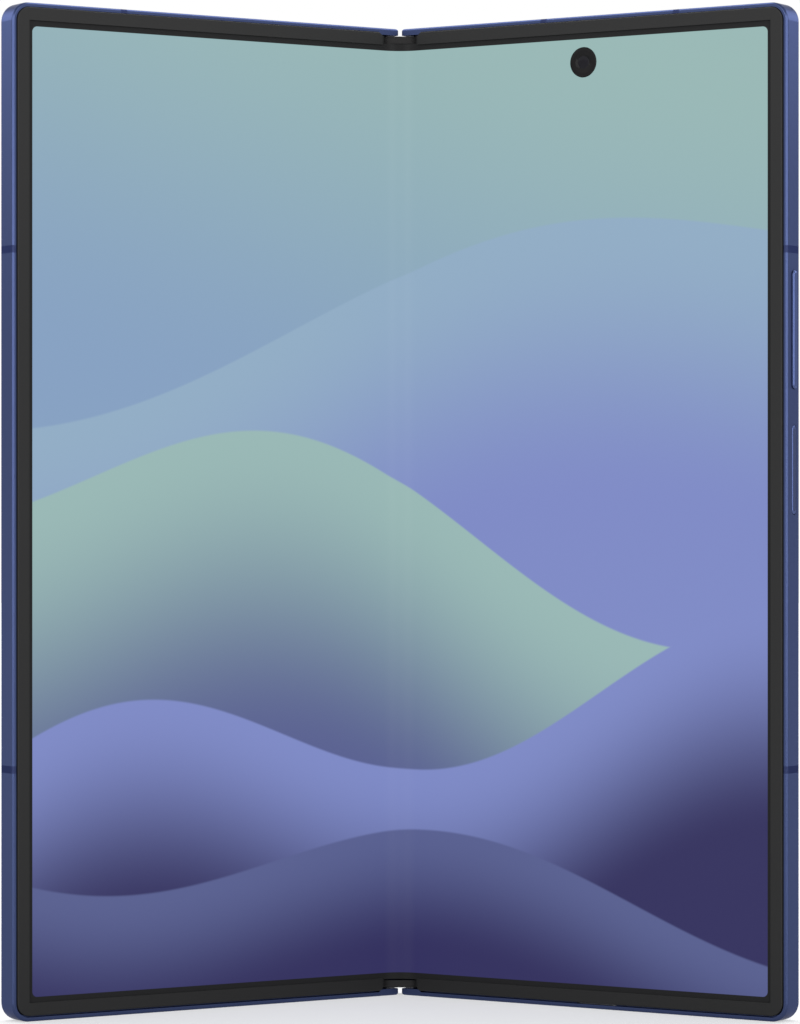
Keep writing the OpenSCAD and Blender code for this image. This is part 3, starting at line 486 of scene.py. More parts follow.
def hills_picture_group(colours):
    """A soft picture of rolling bands. Flat point in millimetres: x from the fold, z up."""
    group, start, end = node_group(
        "Rolling bands picture", "ShaderNodeTree",
        [("Flat point", "NodeSocketVector")], [("Color", "NodeSocketColor")])
    split = group.nodes.new("ShaderNodeSeparateXYZ")
    wire(group, start.outputs["Flat point"], split.inputs[0])
    x, z = split.outputs["X"], split.outputs["Z"]
    # The far ground fades along a slant
    slant = calc(group, "ADD", z, calc(group, "MULTIPLY", x, 0.25))
    picture = blended(group, eased(group, slant, 84.0, 168.0), colours.mist, colours.sage)
    # From far to near: level at the fold, swell, wave length, phase, slope, colour of the crest,
    # colour deep below it, and how deep that lies
    bands = [
        (112.0, 9.0, 176.0, 0.7, 0.16, colours.pale, colours.lilac, 46.0),
        (77.0, 12.0, 142.0, 2.5, -0.14, colours.sage, colours.slate, 52.0),
        (46.0, 9.5, 118.0, 4.3, 0.12, colours.lilac, colours.navy, 34.0),
        (21.0, 7.0, 134.0, 1.1, -0.09, colours.slate, colours.navy, 20.0),
    ]
    for level, swell, length, phase, slope, crest, deep, depth in bands:
        angle = calc(group, "ADD", calc(group, "MULTIPLY", x, 2 * math.pi / length), phase)
        wave = calc(group, "MULTIPLY", calc(group, "SINE", angle), swell)
        base = calc(group, "ADD", calc(group, "MULTIPLY", x, slope), level)
        below = calc(group, "SUBTRACT", calc(group, "ADD", wave, base), z)
        shade = blended(group, eased(group, below, 0.0, depth), crest, deep)
        picture = blended(group, eased(group, below, *BAND_EDGE), picture, shade)
    wire(group, picture, end.inputs["Color"])
    return group


def screen_edge_group():
    """A mask that is 1 inside the lit area and 0 on the black border round it."""
    group, start, end = node_group(
        "Screen edge", "ShaderNodeTree",
        [("Flat point", "NodeSocketVector"),
         ("Half width", "NodeSocketFloat", 68.0),
         ("Lower edge", "NodeSocketFloat", 3.79),
         ("Upper edge", "NodeSocketFloat", 154.71),
         ("Corner", "NodeSocketFloat", 0.85)],
        [("Mask", "NodeSocketFloat")])
    split = group.nodes.new("ShaderNodeSeparateXYZ")
    wire(group, start.outputs["Flat point"], split.inputs[0])
    corner, lower, upper = (
        start.outputs[label] for label in ("Corner", "Lower edge", "Upper edge"))
    middle = calc(group, "MULTIPLY", calc(group, "ADD", upper, lower), 0.5)
    half = calc(group, "MULTIPLY", calc(group, "SUBTRACT", upper, lower), 0.5)
    squares = []
    for offset, limit in ((split.outputs["X"], start.outputs["Half width"]),
                          (calc(group, "SUBTRACT", split.outputs["Z"], middle), half)):
        over = calc(group, "SUBTRACT", calc(group, "ABSOLUTE", offset), limit)
        round_part = calc(group, "MAXIMUM", calc(group, "ADD", over, corner), 0.0)
        squares.append(calc(group, "MULTIPLY", round_part, round_part))
    reach = calc(group, "SQRT", calc(group, "ADD", *squares))
    outside = calc(group, "SUBTRACT", reach, corner)
    inside = calc(group, "SUBTRACT", 1.0, eased(group, outside, *SCREEN_EDGE))
    wire(group, inside, end.inputs["Mask"])
    return group


# ---------- materials ----------

def new_material(name, **values):
    """A Principled material with plain values on the shader's own sockets."""
    material = bpy.data.materials.new(name)
    material.use_nodes = True
    tree = material.node_tree
    shader = tree.nodes["Principled BSDF"]
    for label, value in values.items():
        socket = shader.inputs[label.replace("_", " ")]
        socket.default_value = (*value, 1.0) if isinstance(value, tuple) else value
    return material, tree, shader


def place_group(tree, name, make, **values):
    """Puts a shared node group in a material, with the material's own values or links."""
    node = tree.nodes.new("ShaderNodeGroup")
    node.node_tree = shared_group(name, make)
    for label, value in values.items():
        wire(tree, value, node.inputs[label.replace("_", " ")])
    return node


def shifted(colour, factor):
    """A lighter or darker colour."""
    return tuple(min(1.0, channel * factor) for channel in colour)


def surface(tree, shader, grain, colour, spread, rough, rough_spread, bump):
    """The grain's tone varies colour and roughness a little, and its height raises a fine bump."""
    tone = grain.outputs["Tone"]
    wire(tree, blended(tree, tone, shifted(colour, 1 - spread), shifted(colour, 1 + spread)),
         shader.inputs["Base Color"])
    wire(tree, ranged(tree, tone, rough * (1 - rough_spread), rough * (1 + rough_spread)),
         shader.inputs["Roughness"])
    raised = tree.nodes.new("ShaderNodeBump")
    wire(tree, bump, raised.inputs["Strength"])
    wire(tree, GRAIN_DEPTH, raised.inputs["Distance"])
    wire(tree, grain.outputs["Height"], raised.inputs["Height"])
    wire(tree, raised.outputs["Normal"], shader.inputs["Normal"])


def grained(name, colour, metallic, rough, grains=9000.0, bump=0.12, spread=0.08, **values):
    """An evenly grained surface: blasted metal, moulded plastic or film."""
    material, tree, shader = new_material(name, Metallic=metallic, **values)
    grain = place_group(tree, "Blasted grain", blasted_grain_group, Grains_per_metre=grains)
    surface(tree, shader, grain, colour, spread, rough, 0.10, bump)
    return material


def brushed(name, colour, metallic, rough, lines=14000.0, bump=0.2, spread=0.12, **values):
    """A surface with fine lines along the height."""
    material, tree, shader = new_material(name, Metallic=metallic, **values)
    grain = place_group(tree, "Brushed lines", brushed_lines_group, Lines_per_metre=lines)
    surface(tree, shader, grain, colour, spread, rough, 0.15, bump)
    return material


def polished(name, colour, rough, marks=70.0, **values):
    """A polished face whose gloss is a little clouded in places."""
    material, tree, shader = new_material(name, **values)
    cloud = place_group(tree, "Handled gloss", handled_gloss_group, Marks_per_metre=marks)
    mask = cloud.outputs["Mask"]
    wire(tree, blended(tree, mask, colour, shifted(colour, 1.15)), shader.inputs["Base Color"])
    wire(tree, ranged(tree, mask, rough, rough * 1.8 + 0.01), shader.inputs["Roughness"])
    return material


def paint(nodes, material):
    """Gives CAD nodes a material."""
    for name in nodes:
        slots = frame["nodes"][name].data.materials
        slots.clear()
        slots.append(material)


def display_material(name, colours, sizes, side):
    """The lit display. side is 1 or -1 for a half's own panel, and 0 for the bent zone's strips."""
    material, tree, shader = new_material(
        name, Base_Color=(0.019, 0.019, 0.0195), Roughness=0.34, Specular_IOR_Level=0.05,
        Emission_Strength=1.0)
    place = tree.nodes.new("ShaderNodeMapping")
    if side:
        # Turns the half flat, then counts millimetres along it from the middle of the bend
        turn = Matrix.Rotation(side * FOLD, 4, "Z")
        axis = Vector((side * AXIS_U, CENTRE_Y + AXIS_V, 0))
        moved = (Vector((side * AXIS_U, AXIS_V, 0)) - turn @ axis) / MM
        place.inputs["Location"].default_value = (moved.x - side * bend_start(), moved.y, 0.0)
        place.inputs["Rotation"].default_value = (0.0, 0.0, side * FOLD)
        place.inputs["Scale"].default_value = (1 / MM, 1 / MM, 1 / MM)
        wire(tree, object_point(tree), place.inputs["Vector"])
    else:
        # The strips carry their flat places in a UV map
        sheet = tree.nodes.new("ShaderNodeUVMap")
        sheet.uv_map = "sheet"
        place.inputs["Location"].default_value = (-SHEET / 2, 0.0, 0.0)
        place.inputs["Rotation"].default_value = (math.pi / 2, 0.0, 0.0)
        place.inputs["Scale"].default_value = (SHEET, SHEET, SHEET)
        wire(tree, sheet.outputs["UV"], place.inputs["Vector"])
    flat = place.outputs["Vector"]
    picture = place_group(tree, "Rolling bands picture", lambda: hills_picture_group(colours),
                          Flat_point=flat)
    edge = place_group(tree, "Screen edge", screen_edge_group, Flat_point=flat,
                       Half_width=sizes.lit_half_width / MM - bend_start(),
                       Corner=sizes.lit_corner / MM)
    lit = blended(tree, edge.outputs["Mask"], (0.0, 0.0, 0.0), picture.outputs["Color"])
    wire(tree, lit, shader.inputs["Emission Color"])
    return material


# ---------- settings ----------

def colour(name, text, default):
    return FloatVectorProperty(name=name, description=text, subtype="COLOR", size=3, min=0, max=1,
                               default=default)


def length(name, text, default, low, high):
    return FloatProperty(name=name, description=text, default=default, min=low, max=high,
                         unit="LENGTH", precision=5)


def strength(name, text, default, high):
    return FloatProperty(name=name, description=text, default=default, min=0.0, max=high)


class PhoneFinishSettings(bpy.types.PropertyGroup):
    """Colours of the phone's outer finishes, in linear light."""

    anodised: colour("Anodised metal", "Colour of the frames, keys and spine cover",
                     (0.040, 0.054, 0.122))
    band: colour("Antenna band", "Colour of the resin bands in the frames", (0.026, 0.034, 0.086))
    trim: colour("Display trim", "Colour of the soft trim round the inner display",
                 (0.0050, 0.0050, 0.0051))
    cap: colour("Hinge cap", "Colour of the caps at the hinge's ends", (0.012, 0.0115, 0.012))
    back: colour("Back glass", "Colour behind the etched back glass", (0.045, 0.066, 0.150))
    cover: colour("Cover glass", "Colour of the outer display's glass", (0.006, 0.006, 0.008))


class PhonePictureSettings(bpy.types.PropertyGroup):
    """Colours of the picture on the inner display, in linear light."""

    sage: colour("Sage", "Greenish light of the upper bands", (0.302, 0.462, 0.445))
    mist: colour("Mist", "Pale blue between the bands", (0.222, 0.337, 0.520))
    pale: colour("Pale blue", "Light crest of the far band", (0.270, 0.400, 0.540))
    lilac: colour("Lilac blue", "Violet blue of the bands", (0.196, 0.240, 0.545))
    slate: colour("Slate blue", "Deep blue of the middle band", (0.087, 0.105, 0.266))
    navy: colour("Navy", "Darkest blue at the bottom", (0.021, 0.018, 0.100))


class PhoneSizeSettings(bpy.types.PropertyGroup):
    """Sizes of what the scene adds to the solids."""

    lit_half_width: length("Lit half width", "Distance from the fold to the lit area's edge",
                           68.12 * MM, 60.0 * MM, 70.0 * MM)
    lit_corner: length("Lit corner", "Radius of the lit area's corners",
                       0.85 * MM, 0.1 * MM, 3.0 * MM)
    bend_steps: IntProperty(
        name="Bend steps", description="Faces across each half of the bent display",
        default=18, min=6, max=60)
    coil_turns: FloatProperty(
        name="Coil turns", description="Windings of the charging coil",
        default=17.0, min=4.0, max=30.0)
    mesh_pitch: length("Speaker mesh pitch", "Distance between the wires behind the speaker holes",
                       0.14 * MM, 0.08 * MM, 0.4 * MM)


class PhoneStageSettings(bpy.types.PropertyGroup):
    """The camera and the studio."""

    distance: length("Camera distance", "From the camera to the hinge", 0.690, 0.2, 3.0)
    height: length("Camera height", "Height of the camera above the floor", 0.0792, 0.0, 1.0)
    lens: FloatProperty(
        name="Lens", description="Focal length", default=148.0, min=20.0, max=300.0,
        subtype="DISTANCE_CAMERA")
    ambient: strength("Ambient light", "Strength of the light from all round", 0.62, 2.0)
    softbox: strength("Softbox radiance", "Brightness of the two front softboxes", 4.0, 8.0)
    overhead: strength("Overhead radiance", "Brightness of the overhead softbox", 4.8, 8.0)
    rear: strength("Rear radiance", "Brightness of the two high softboxes behind the phone",
                   3.1, 8.0)
    side: strength("Side radiance", "Brightness of the two high softboxes at the sides", 0.65, 8.0)


# ---------- operators ----------

class PHONE_OT_metal(bpy.types.Operator):
    """Anodises the frames, keys, tray, island and spine cover, and fills the antenna bands"""

    bl_idname = "phone.metal"
    bl_label = "Anodised metal"

    def execute(self, context):
        finish = context.scene.phone_finish
        paint(["right_frame", "left_frame", "camera_island", "card_tray"],
              grained("anodised_blue", finish.anodised, 1.0, 0.30, grains=11000.0, bump=0.10,
                      spread=0.05, Specular_Tint=EDGE_TINT))
        # The keys take the frames' metal made 1.6 times lighter: a painted highlight for the light
        # that the keys catch more than the wall beside them
        paint(["volume_key", "power_key"],
              grained("anodised_key_blue_painted_highlight", shifted(finish.anodised, 1.6), 1.0, 0.24,
                      grains=12000.0, bump=0.06, spread=0.04, Specular_Tint=EDGE_TINT))
        paint(["power_key_pad"],
              grained("sensor_pad_blue", shifted(finish.anodised, 0.8), 0.85, 0.38,
                      bump=0.04, spread=0.03, Specular_Tint=EDGE_TINT))
        paint(["hinge_spine_cover"],
              brushed("spine_blue", finish.anodised, 1.0, 0.22, bump=0.06, spread=0.06,
                      Specular_Tint=EDGE_TINT))
        paint(["right_antenna_bands", "left_antenna_bands"],
              grained("antenna_resin", finish.band, 0.85, 0.42, grains=6000.0, bump=0.08,
                      Specular_IOR_Level=0.1, Specular_Tint=shifted(EDGE_TINT, 0.6)))
        return {"FINISHED"}


class PHONE_OT_trims(bpy.types.Operator):
    """Gives the display trims and the hinge caps their soft dark polymer"""

    bl_idname = "phone.trims"
    bl_label = "Display trims"

    def execute(self, context):
        finish = context.scene.phone_finish
        paint(["right_bezel_trim", "left_bezel_trim"],
              grained("trim_polymer", finish.trim, 0.0, 0.42, grains=7000.0, bump=0.10,
                      spread=0.06, Specular_IOR_Level=0.28))
        paint(["hinge_end_caps"],
              grained("cap_polymer", finish.cap, 0.0, 0.40, grains=7000.0, bump=0.10,
                      Specular_IOR_Level=0.2))
        return {"FINISHED"}


class PHONE_OT_display(bpy.types.Operator):
    """Lights the two flat zones of the inner display"""

    bl_idname = "phone.display"
    bl_label = "Inner display"

    def execute(self, context):
        picture, sizes = context.scene.phone_picture, context.scene.phone_sizes
        paint(["right_display_zone"], display_material("display_right", picture, sizes, 1))
        paint(["left_display_zone"], display_material("display_left", picture, sizes, -1))
        return {"FINISHED"}


def bend_strip(name, side, steps):
    """Half of the bent zone: a curved strip from the fold to the flat zone, flat places as UV."""
    bow = half_point(BEND_U, bow_v(), 0)
    inner = (half_point(BEND_U, DISPLAY_V, 0) - bow).length
    low, high = (corner.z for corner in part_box("display_fold_zone"))
    rows = [low, low + END_ROW * MM, (low + high) / 2, high - END_ROW * MM, high]
    points, flats, faces = [], [], []
    for step in range(steps + 1):
        angle = FOLD * step / steps
        flat = inner * angle / MM
        for radius in (inner, inner + DISPLAY_T * MM):
            for z in rows:
                across, deep = radius * math.sin(angle), radius * math.cos(angle)
                points.append((side * across, bow.y + deep, z))
                flats.append((side * flat / SHEET + 0.5, z / MM / SHEET))
    count = len(rows)
    per = 2 * count
    for step in range(steps):
        a, b = step * per, (step + 1) * per
        for row in range(count - 1):
            faces.append((a + row, a + row + 1, b + row + 1, b + row))
        for row in range(count, per - 1):
            faces.append((a + row, b + row, b + row + 1, a + row + 1))
        faces.append((a, b, b + count, a + count))
        faces.append((a + count - 1, a + per - 1, b + per - 1, b + count - 1))
    for a in (0, steps * per):
        for row in range(count - 1):
            faces.append((a + row, a + count + row, a + count + row + 1, a + row + 1))
    mesh = bpy.data.meshes.new(name)
    mesh.from_pydata(points, [], faces)
    layer = mesh.uv_layers.new(name="sheet")
    for loop in mesh.loops:
        layer.data[loop.index].uv = flats[loop.vertex_index]
    settle(mesh)
    return mesh


class PHONE_OT_display_bend(bpy.types.Operator):
    """Builds the display's bent zone as two strips"""

    bl_idname = "phone.display_bend"
    bl_label = "Display bend"

    def execute(self, context):
        sizes = context.scene.phone_sizes
        material = display_material("display_bend", context.scene.phone_picture, sizes, 0)
        for word, side in (("right", 1), ("left", -1)):
            name = f"display_bend_{word}"
            strip = add_piece(name, bend_strip(name, side, sizes.bend_steps), None, material)
            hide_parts("display_fold_zone")
            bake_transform(strip)
        return {"FINISHED"}


class PHONE_OT_hinge(bpy.types.Operator):
    """Finishes the hinge's works, and cuts its ribbon cables at the fold into a piece for each side
    """

    bl_idname = "phone.hinge"
    bl_label = "Hinge works"

    def execute(self, context):
        paint(["hinge_brackets", "right_hinge_arms", "left_hinge_arms", "right_support_plate",
               "left_support_plate", "fold_support_plate"],
              brushed("satin_steel", (0.52, 0.53, 0.55), 1.0, 0.30))
        paint(["hinge_gear_pins", "right_hinge_screws", "left_hinge_screws"],
              grained("ground_steel", (0.60, 0.60, 0.62), 1.0, 0.18, grains=15000.0, bump=0.05,
                      spread=0.05))
        paint(["right_idler_gears", "left_idler_gears"],
              grained("gear_bronze", (0.56, 0.41, 0.20), 1.0, 0.28, grains=12000.0, bump=0.10))
        film = grained("polyimide_film", (0.36, 0.17, 0.045), 0.0, 0.32, grains=3000.0, bump=0.05)
        for word, side in (("right", 1), ("left", -1)):
            mesh = copy_of("hinge_ribbon_cables", f"ribbon_cables_{word}")
            form = bmesh.new()
            form.from_mesh(mesh)
            bmesh.ops.bisect_plane(
                form, geom=form.verts[:] + form.edges[:] + form.faces[:], dist=1e-7,
                plane_co=(0, 0, 0), plane_no=(side, 0, 0), clear_inner=True)
            bmesh.ops.holes_fill(form, edges=[edge for edge in form.edges if edge.is_boundary])
            form.to_mesh(mesh)
            form.free()
            settle(mesh)
            ribbon = add_piece(mesh.name, mesh, None, film)
            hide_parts("hinge_ribbon_cables")
            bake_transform(ribbon)
        return {"FINISHED"}


class PHONE_OT_glasses(bpy.types.Operator):
    """Finishes the back glass, the outer display's glass and the flash window"""

    bl_idname = "phone.glasses"
    bl_label = "Outer glasses"

    def execute(self, context):
        finish = context.scene.phone_finish
        paint(["rear_glass"],
              grained("etched_back_glass", finish.back, 0.45, 0.34, grains=16000.0, bump=0.05,
                      spread=0.06, Specular_IOR_Level=0.3, Specular_Tint=EDGE_TINT,
                      Coat_Weight=0.12, Coat_Roughness=0.22))
        paint(["cover_glass"], polished("cover_glass_black", finish.cover, 0.05))
        paint(["cover_display_panel"], polished("panel_black", (0.010, 0.010, 0.012), 0.12))
        paint(["flash_window"],
              grained("flash_diffuser", (0.80, 0.76, 0.58), 0.0, 0.35, grains=2500.0, bump=0.35,
                      Coat_Weight=0.4))
        return {"FINISHED"}


class PHONE_OT_small_cameras(bpy.types.Operator):
    """Builds the camera window in the inner display and the camera's eye in the outer glass"""

    bl_idname = "phone.small_cameras"
    bl_label = "Small cameras"

    def execute(self, context):
        mask = polished("camera_window_black", (0.0135, 0.013, 0.0135), 0.12,
                        Specular_IOR_Level=0.05)
        lens = polished("front_lens_coating", (0.011, 0.0105, 0.014), 0.08, Specular_IOR_Level=0.09)
        matrix = lens_matrix(1, PUNCH_U, 0.0, PUNCH_Z, 1)
        disc = turned_piece("front_camera_disc", WINDOW_OUTLINE, WINDOW_STEPS, matrix,
                            "right_half", mask)
        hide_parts("front_camera_window")
        eye = turned_piece("front_camera_lens", lens_dome(radius=1.02, floor=-0.11, rise=0.06),
                           EYE_STEPS, matrix, "right_half", lens)

        rim = polished("cover_eye_rim", (0.016, 0.016, 0.019), 0.22)
        lens = polished("cover_eye_coating", (0.010, 0.012, 0.034), 0.04, Specular_IOR_Level=0.4)
        low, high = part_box("cover_camera_module")
        place = half_matrix(-1).inverted() @ ((low + high) / 2)
        matrix = lens_matrix(-1, place.x, THICKNESS, place.z, -1)
        ring = turned_piece("cover_camera_ring", RING_OUTLINE, WINDOW_STEPS, matrix, "left_half",
                            rim)
        eye = turned_piece("cover_camera_lens", lens_dome(radius=1.1, floor=-0.02, rise=0.03),
                           EYE_STEPS, matrix, "left_half", lens)
        paint(["front_camera_module", "cover_camera_module", "rear_camera_modules",
               "bottom_speaker", "earpiece_speaker"],
              grained("moulded_black", (0.022, 0.022, 0.024), 0.0, 0.45, grains=6000.0, bump=0.15))
        return {"FINISHED"}


class PHONE_OT_rear_cameras(bpy.types.Operator):
    """Builds the stepped barrels, lenses and clear cover discs inside the three lens rings"""

    bl_idname = "phone.rear_cameras"
    bl_label = "Rear cameras"

    def execute(self, context):
        finish = context.scene.phone_finish
        paint(["camera_lens_rings"],
              grained("turned_ring_blue", shifted(finish.anodised, 0.75), 1.0, 0.20,
                      grains=12000.0, bump=0.05))
        barrel = polished("barrel_black", (0.008, 0.008, 0.009), 0.34, Specular_IOR_Level=0.12)
        coating = polished("lens_coating", (0.010, 0.012, 0.036), 0.03, Specular_IOR_Level=0.35)
        clear, tree, shader = new_material("lens_cover_clear", Base_Color=(0.96, 0.97, 1.0),
                                           Transmission_Weight=1.0, IOR=1.2)
        cloud = place_group(tree, "Handled gloss", handled_gloss_group, Marks_per_metre=120.0)
        wire(tree, ranged(tree, cloud.outputs["Mask"], 0.01, 0.04), shader.inputs["Roughness"])
        matrix = lens_matrix(1, ISLAND_U, ISLAND_TOP_V, ISLAND_Z, -1)
        places = [(0, LENS_PITCH, 0), (0, 0, 0), (0, -LENS_PITCH, 0)]
        piece = turned_piece("camera_barrels", BARREL_OUTLINE, RIM_STEPS, matrix, "right_half",
                             barrel, places)
        dome = lens_dome(radius=2.08, floor=-0.03, rise=0.26, sink=0.07)
        piece = turned_piece("camera_lens_elements", dome, LENS_STEPS, matrix, "right_half",
                             coating, places)
        piece = turned_piece("camera_cover_discs", COVER_DISC_OUTLINE, RIM_STEPS, matrix,
                             "right_half", clear, places)
        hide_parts("camera_lens_glasses")
        return {"FINISHED"}


def wire_mesh(side, middle, count, z, pitch, material):
    """Two crossed layers of wires behind each of a row of round holes."""
    wires = int(HOLE_WIDTH / pitch)
    first = -pitch * (wires - 1) / 2
    layers = [
        ((pitch, 0.0, 0.0), (WIRE_SIZE, HOLE_WIDTH, WIRE_SIZE), (first, 0.0, 0.0)),
        ((0.0, pitch, 0.0), (HOLE_WIDTH, WIRE_SIZE, WIRE_SIZE), (0.0, first, WIRE_LIFT)),
    ]
    meshes = []
    for index in range(count):
        hole = Vector((middle + (index - (count - 1) / 2) * HOLE_PITCH, PORT_V, z))
        for step, size, shift in layers:
            mesh = grown_mesh("wires", shared_group("Bar row", bar_row_tree), {
                "Count": wires, "Step": step, "Bar size": size, "Material": material})
            mesh.transform(half_matrix(side) @ Matrix.Translation(hole + Vector(shift)))
            meshes.append(mesh)
    return meshes


class PHONE_OT_ports(bpy.types.Operator):
    """Adds the charging socket's contacts and the wire mesh behind the speaker holes"""

    bl_idname = "phone.ports"
    bl_label = "Ports"

    def execute(self, context):
        paint(["usb_socket"], brushed("socket_steel", (0.11, 0.112, 0.118), 1.0, 0.32))
        gold = grained("contact_gold", (0.83, 0.60, 0.25), 1.0, 0.20, bump=0.03)
        first = USB_U - CONTACT_PITCH * (CONTACTS - 1) / 2
        rows = []
        for v in (PORT_V - CONTACT_V, PORT_V + CONTACT_V):
            mesh = grown_mesh("contacts", shared_group("Bar row", bar_row_tree), {
                "Count": CONTACTS, "Step": (CONTACT_PITCH, 0.0, 0.0), "Bar size": CONTACT_SIZE,
                "Material": gold})
            mesh.transform(half_matrix(1) @ Matrix.Translation((first, v, CONTACT_Z)))
            rows.append(mesh)
        piece = add_piece("socket_contacts", merged("socket_contacts", rows), "right_half", gold)

        wires = grained("mesh_wire", (0.05, 0.055, 0.07), 0.8, 0.35, bump=0.05)
        pitch = context.scene.phone_sizes.mesh_pitch / MM
        meshes = wire_mesh(1, SPEAKER_U, SPEAKER_HOLES, MESH_DEPTH, pitch, wires)
        piece = add_piece("speaker_mesh", merged("speaker_mesh", meshes), "right_half", wires)
        meshes = wire_mesh(-1, EAR_U, EAR_HOLES, HEIGHT / MM - MESH_DEPTH, pitch, wires)
        piece = add_piece("earpiece_mesh", merged("earpiece_mesh", meshes), "left_half", wires)
        return {"FINISHED"}


class PHONE_OT_inside(bpy.types.Operator):
    """Finishes the boards, batteries, coil, magnets and other inner pieces"""

    bl_idname = "phone.inside"
    bl_label = "Inner pieces"

    def execute(self, context):
        paint(["main_board", "lower_board", "left_board"],
              grained("solder_mask", (0.018, 0.085, 0.060), 0.0, 0.34, grains=700.0, bump=0.10,
                      spread=0.18, Coat_Weight=0.3))
        paint(["board_shield_cans", "tray_reader", "vibration_motor"],
              brushed("can_steel", (0.58, 0.58, 0.60), 1.0, 0.26, bump=0.08))
        paint(["key_domes"],
              grained("dome_steel", (0.62, 0.62, 0.64), 1.0, 0.16, grains=14000.0, bump=0.03))
        paint(["right_battery", "left_battery"],
              grained("battery_foil", (0.055, 0.055, 0.060), 0.25, 0.38, grains=900.0, bump=0.22,
                      spread=0.12))
        paint(["key_flex"],
              grained("flex_film", (0.36, 0.17, 0.045), 0.0, 0.32, grains=3000.0, bump=0.05))
        paint(["right_magnets", "left_magnets"],
              grained("nickel_plate", (0.50, 0.49, 0.46), 1.0, 0.24, bump=0.05))
        copper = grained("coil_copper", (0.66, 0.30, 0.13), 1.0, 0.26, bump=0.04)
        mesh = grown_mesh("coil_windings", coil_tree(), {
            "Turns": context.scene.phone_sizes.coil_turns, "Inner radius": COIL_INNER,
            "Outer radius": COIL_OUTER, "Wire radius": COIL_WIRE, "Material": copper})
        low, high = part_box("charging_coil")
        stand = Matrix.Rotation(-FOLD, 4, "Z") @ Matrix.Rotation(math.pi / 2, 4, "X")
        mesh.transform(Matrix.Translation((low + high) / 2) @ stand @ Matrix.Scale(MM, 4))
        coil = add_piece("coil_windings", mesh, "right_half", copper)
        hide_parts("charging_coil")
        return {"FINISHED"}


def seen_rays(tree):
    """1 for the rays that show a thing in the picture or in a mirror, 0 for those that light it."""
    path = tree.nodes.new("ShaderNodeLightPath")
    return calc(tree, "MAXIMUM", path.outputs["Is Camera Ray"],
                calc(tree, "MAXIMUM", path.outputs["Is Glossy Ray"],
                     path.outputs["Is Transmission Ray"]))


def studio_world(ambient):
    """A world that looks white and sheds a weaker light."""
    world = bpy.data.worlds.new("studio")
    world.use_nodes = True
    tree = world.node_tree
    tree.nodes.clear()
    mix = tree.nodes.new("ShaderNodeMixShader")
    out = tree.nodes.new("ShaderNodeOutputWorld")
    wire(tree, seen_rays(tree), mix.inputs[0])
    for slot, brightness in ((1, ambient), (2, 1.0)):
        light = tree.nodes.new("ShaderNodeBackground")
        wire(tree, WHITE, light.inputs["Color"])
        wire(tree, brightness, light.inputs["Strength"])
        tree.links.new(light.outputs[0], mix.inputs[slot])
    tree.links.new(mix.outputs[0], out.inputs["Surface"])
    return world


def floor_paper():
    """Matt paper that glows more away from the phone, so that it has no visible end."""
    material = bpy.data.materials.new("floor_paper")
    material.use_nodes = True
    tree = material.node_tree
    tree.nodes.clear()
    dull = tree.nodes.new("ShaderNodeBsdfDiffuse")
    wire(tree, FLOOR_GREY, dull.inputs["Color"])
    away = tree.nodes.new("ShaderNodeVectorMath")
    away.operation = "LENGTH"
    wire(tree, object_point(tree), away.inputs[0])
    fade = ranged(tree, away.outputs["Value"], *FLOOR_GLOW, *FLOOR_GLOW_FROM)
    glow = tree.nodes.new("ShaderNodeEmission")
    wire(tree, WHITE, glow.inputs["Color"])
    wire(tree, fade, glow.inputs["Strength"])
    both = tree.nodes.new("ShaderNodeAddShader")
    mix = tree.nodes.new("ShaderNodeMixShader")
    out = tree.nodes.new("ShaderNodeOutputMaterial")
    tree.links.new(dull.outputs[0], both.inputs[0])
    tree.links.new(glow.outputs[0], both.inputs[1])
    wire(tree, seen_rays(tree), mix.inputs[0])
    tree.links.new(dull.outputs[0], mix.inputs[1])
    tree.links.new(both.outputs[0], mix.inputs[2])
    tree.links.new(mix.outputs[0], out.inputs["Surface"])
    return material


def soft_lamp(name, place, width, depth, radiance):
    """A softbox that looks at the phone's middle and gives the named radiance."""
    light = bpy.data.lights.new(name, "AREA")
    light.shape = "RECTANGLE"
    light.size = width
    light.size_y = depth
    light.energy = radiance * math.pi * width * depth
    lamp = bpy.data.objects.new(name, light)
    lamp.location = place
    look = Vector((0.0, 0.0, HEIGHT / 2)) - Vector(place)
    lamp.rotation_euler = look.to_track_quat("-Z", "Y").to_euler()
    lamp.visible_camera = False
    bpy.context.scene.collection.objects.link(lamp)


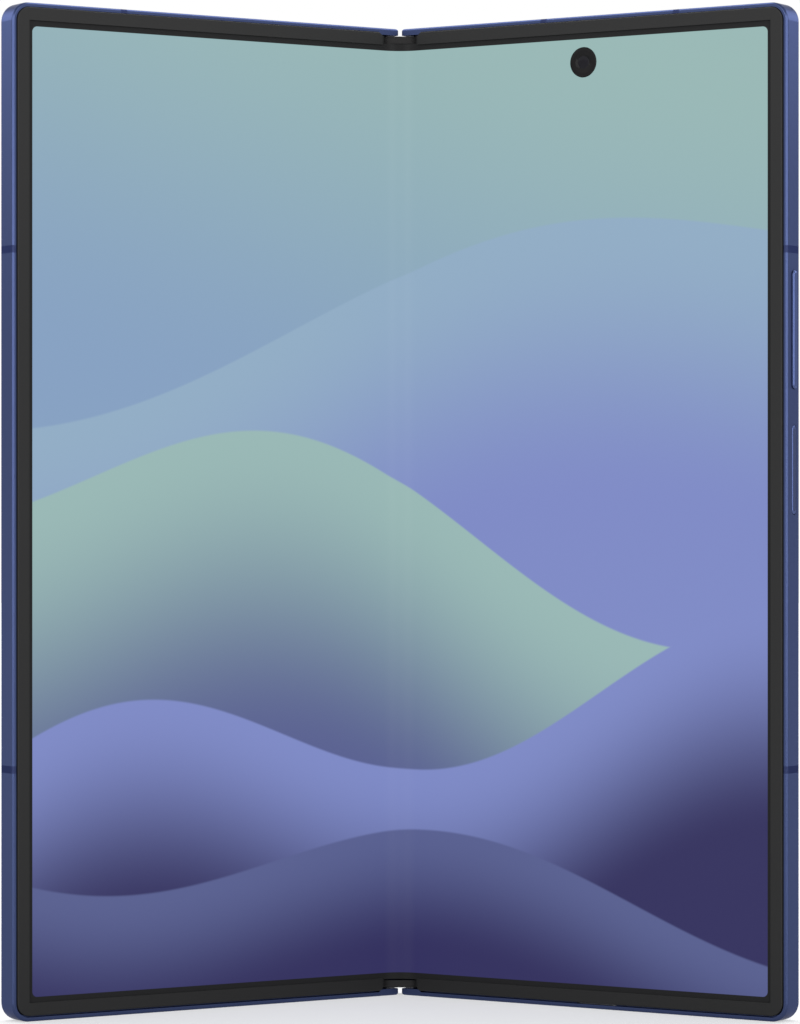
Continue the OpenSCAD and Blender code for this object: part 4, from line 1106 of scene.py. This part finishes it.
class PHONE_OT_stage(bpy.types.Operator):
    """Sets the pale floor, the soft studio light and the camera"""

    bl_idname = "phone.stage"
    bl_label = "Stage"

    def execute(self, context):
        scene, stage = context.scene, context.scene.phone_stage
        scene.view_settings.view_transform = "Standard"
        scene.world = studio_world(stage.ambient)

        mesh = bpy.data.meshes.new("studio_floor")
        reach = 3.0
        corners = [(-reach, -reach, 0), (reach, -reach, 0), (reach, reach, 0), (-reach, reach, 0)]
        mesh.from_pydata(corners, [], [(0, 1, 2, 3)])
        mesh.materials.append(floor_paper())
        floor = bpy.data.objects.new("studio_floor", mesh)
        scene.collection.objects.link(floor)

        soft_lamp("softbox_overhead", (0.0, 0.45, 1.25), 1.4, 0.5, stage.overhead)
        for word, side in (("right", 1), ("left", -1)):
            soft_lamp("softbox_front_" + word, (side * 0.75, -1.25, 0.45), 0.5, 0.9, stage.softbox)
            soft_lamp("softbox_side_" + word, (side * 1.27, -0.59, 0.80), 0.9, 0.9, stage.side)
            soft_lamp("softbox_rear_" + word, (side * 1.15, 0.55, 0.69), 0.9, 0.8, stage.rear)

        data = bpy.data.cameras.new("photo_camera")
        data.lens = stage.lens
        data.sensor_width = 36.0
        data.clip_start = 0.01
        camera = bpy.data.objects.new("photo_camera", data)
        camera.location = (0.0, CENTRE_Y - stage.distance, stage.height)
        camera.rotation_euler = (math.pi / 2, 0.0, 0.0)
        scene.collection.objects.link(camera)
        scene.camera = camera
        return {"FINISHED"}


class PHONE_PT_build(bpy.types.Panel):
    """Lists the settings and the steps of the phone's looks"""

    bl_idname = "PHONE_PT_build"
    bl_label = "Foldable smartphone"
    bl_space_type = "VIEW_3D"
    bl_region_type = "UI"
    bl_category = "Phone"

    def draw(self, context):
        for name, group in SETTINGS:
            box = self.layout.box()
            for label in group.__annotations__:
                box.prop(getattr(context.scene, name), label)
        for step in STEPS:
            self.layout.operator(step.bl_idname)


STEPS = (
    PHONE_OT_metal,
    PHONE_OT_trims,
    PHONE_OT_display,
    PHONE_OT_display_bend,
    PHONE_OT_hinge,
    PHONE_OT_glasses,
    PHONE_OT_small_cameras,
    PHONE_OT_rear_cameras,
    PHONE_OT_ports,
    PHONE_OT_inside,
    PHONE_OT_stage,
)
SETTINGS = (
    ("phone_finish", PhoneFinishSettings),
    ("phone_picture", PhonePictureSettings),
    ("phone_sizes", PhoneSizeSettings),
    ("phone_stage", PhoneStageSettings),
)


def register():
    for name, group in SETTINGS:
        bpy.utils.register_class(group)
        setattr(bpy.types.Scene, name, PointerProperty(type=group))
    for step in STEPS:
        bpy.utils.register_class(step)
    bpy.utils.register_class(PHONE_PT_build)


def unregister():
    bpy.utils.unregister_class(PHONE_PT_build)
    for step in reversed(STEPS):
        bpy.utils.unregister_class(step)
    for name, group in reversed(SETTINGS):
        delattr(bpy.types.Scene, name)
        bpy.utils.unregister_class(group)


def main():
    register()
    bpy.ops.phone.metal()
    bpy.ops.phone.trims()
    bpy.ops.phone.display()
    bpy.ops.phone.display_bend()
    bpy.ops.phone.hinge()
    bpy.ops.phone.glasses()
    bpy.ops.phone.small_cameras()
    bpy.ops.phone.rear_cameras()
    bpy.ops.phone.ports()
    bpy.ops.phone.inside()
    bpy.ops.phone.stage()


if __name__ == "__main__":
    main()
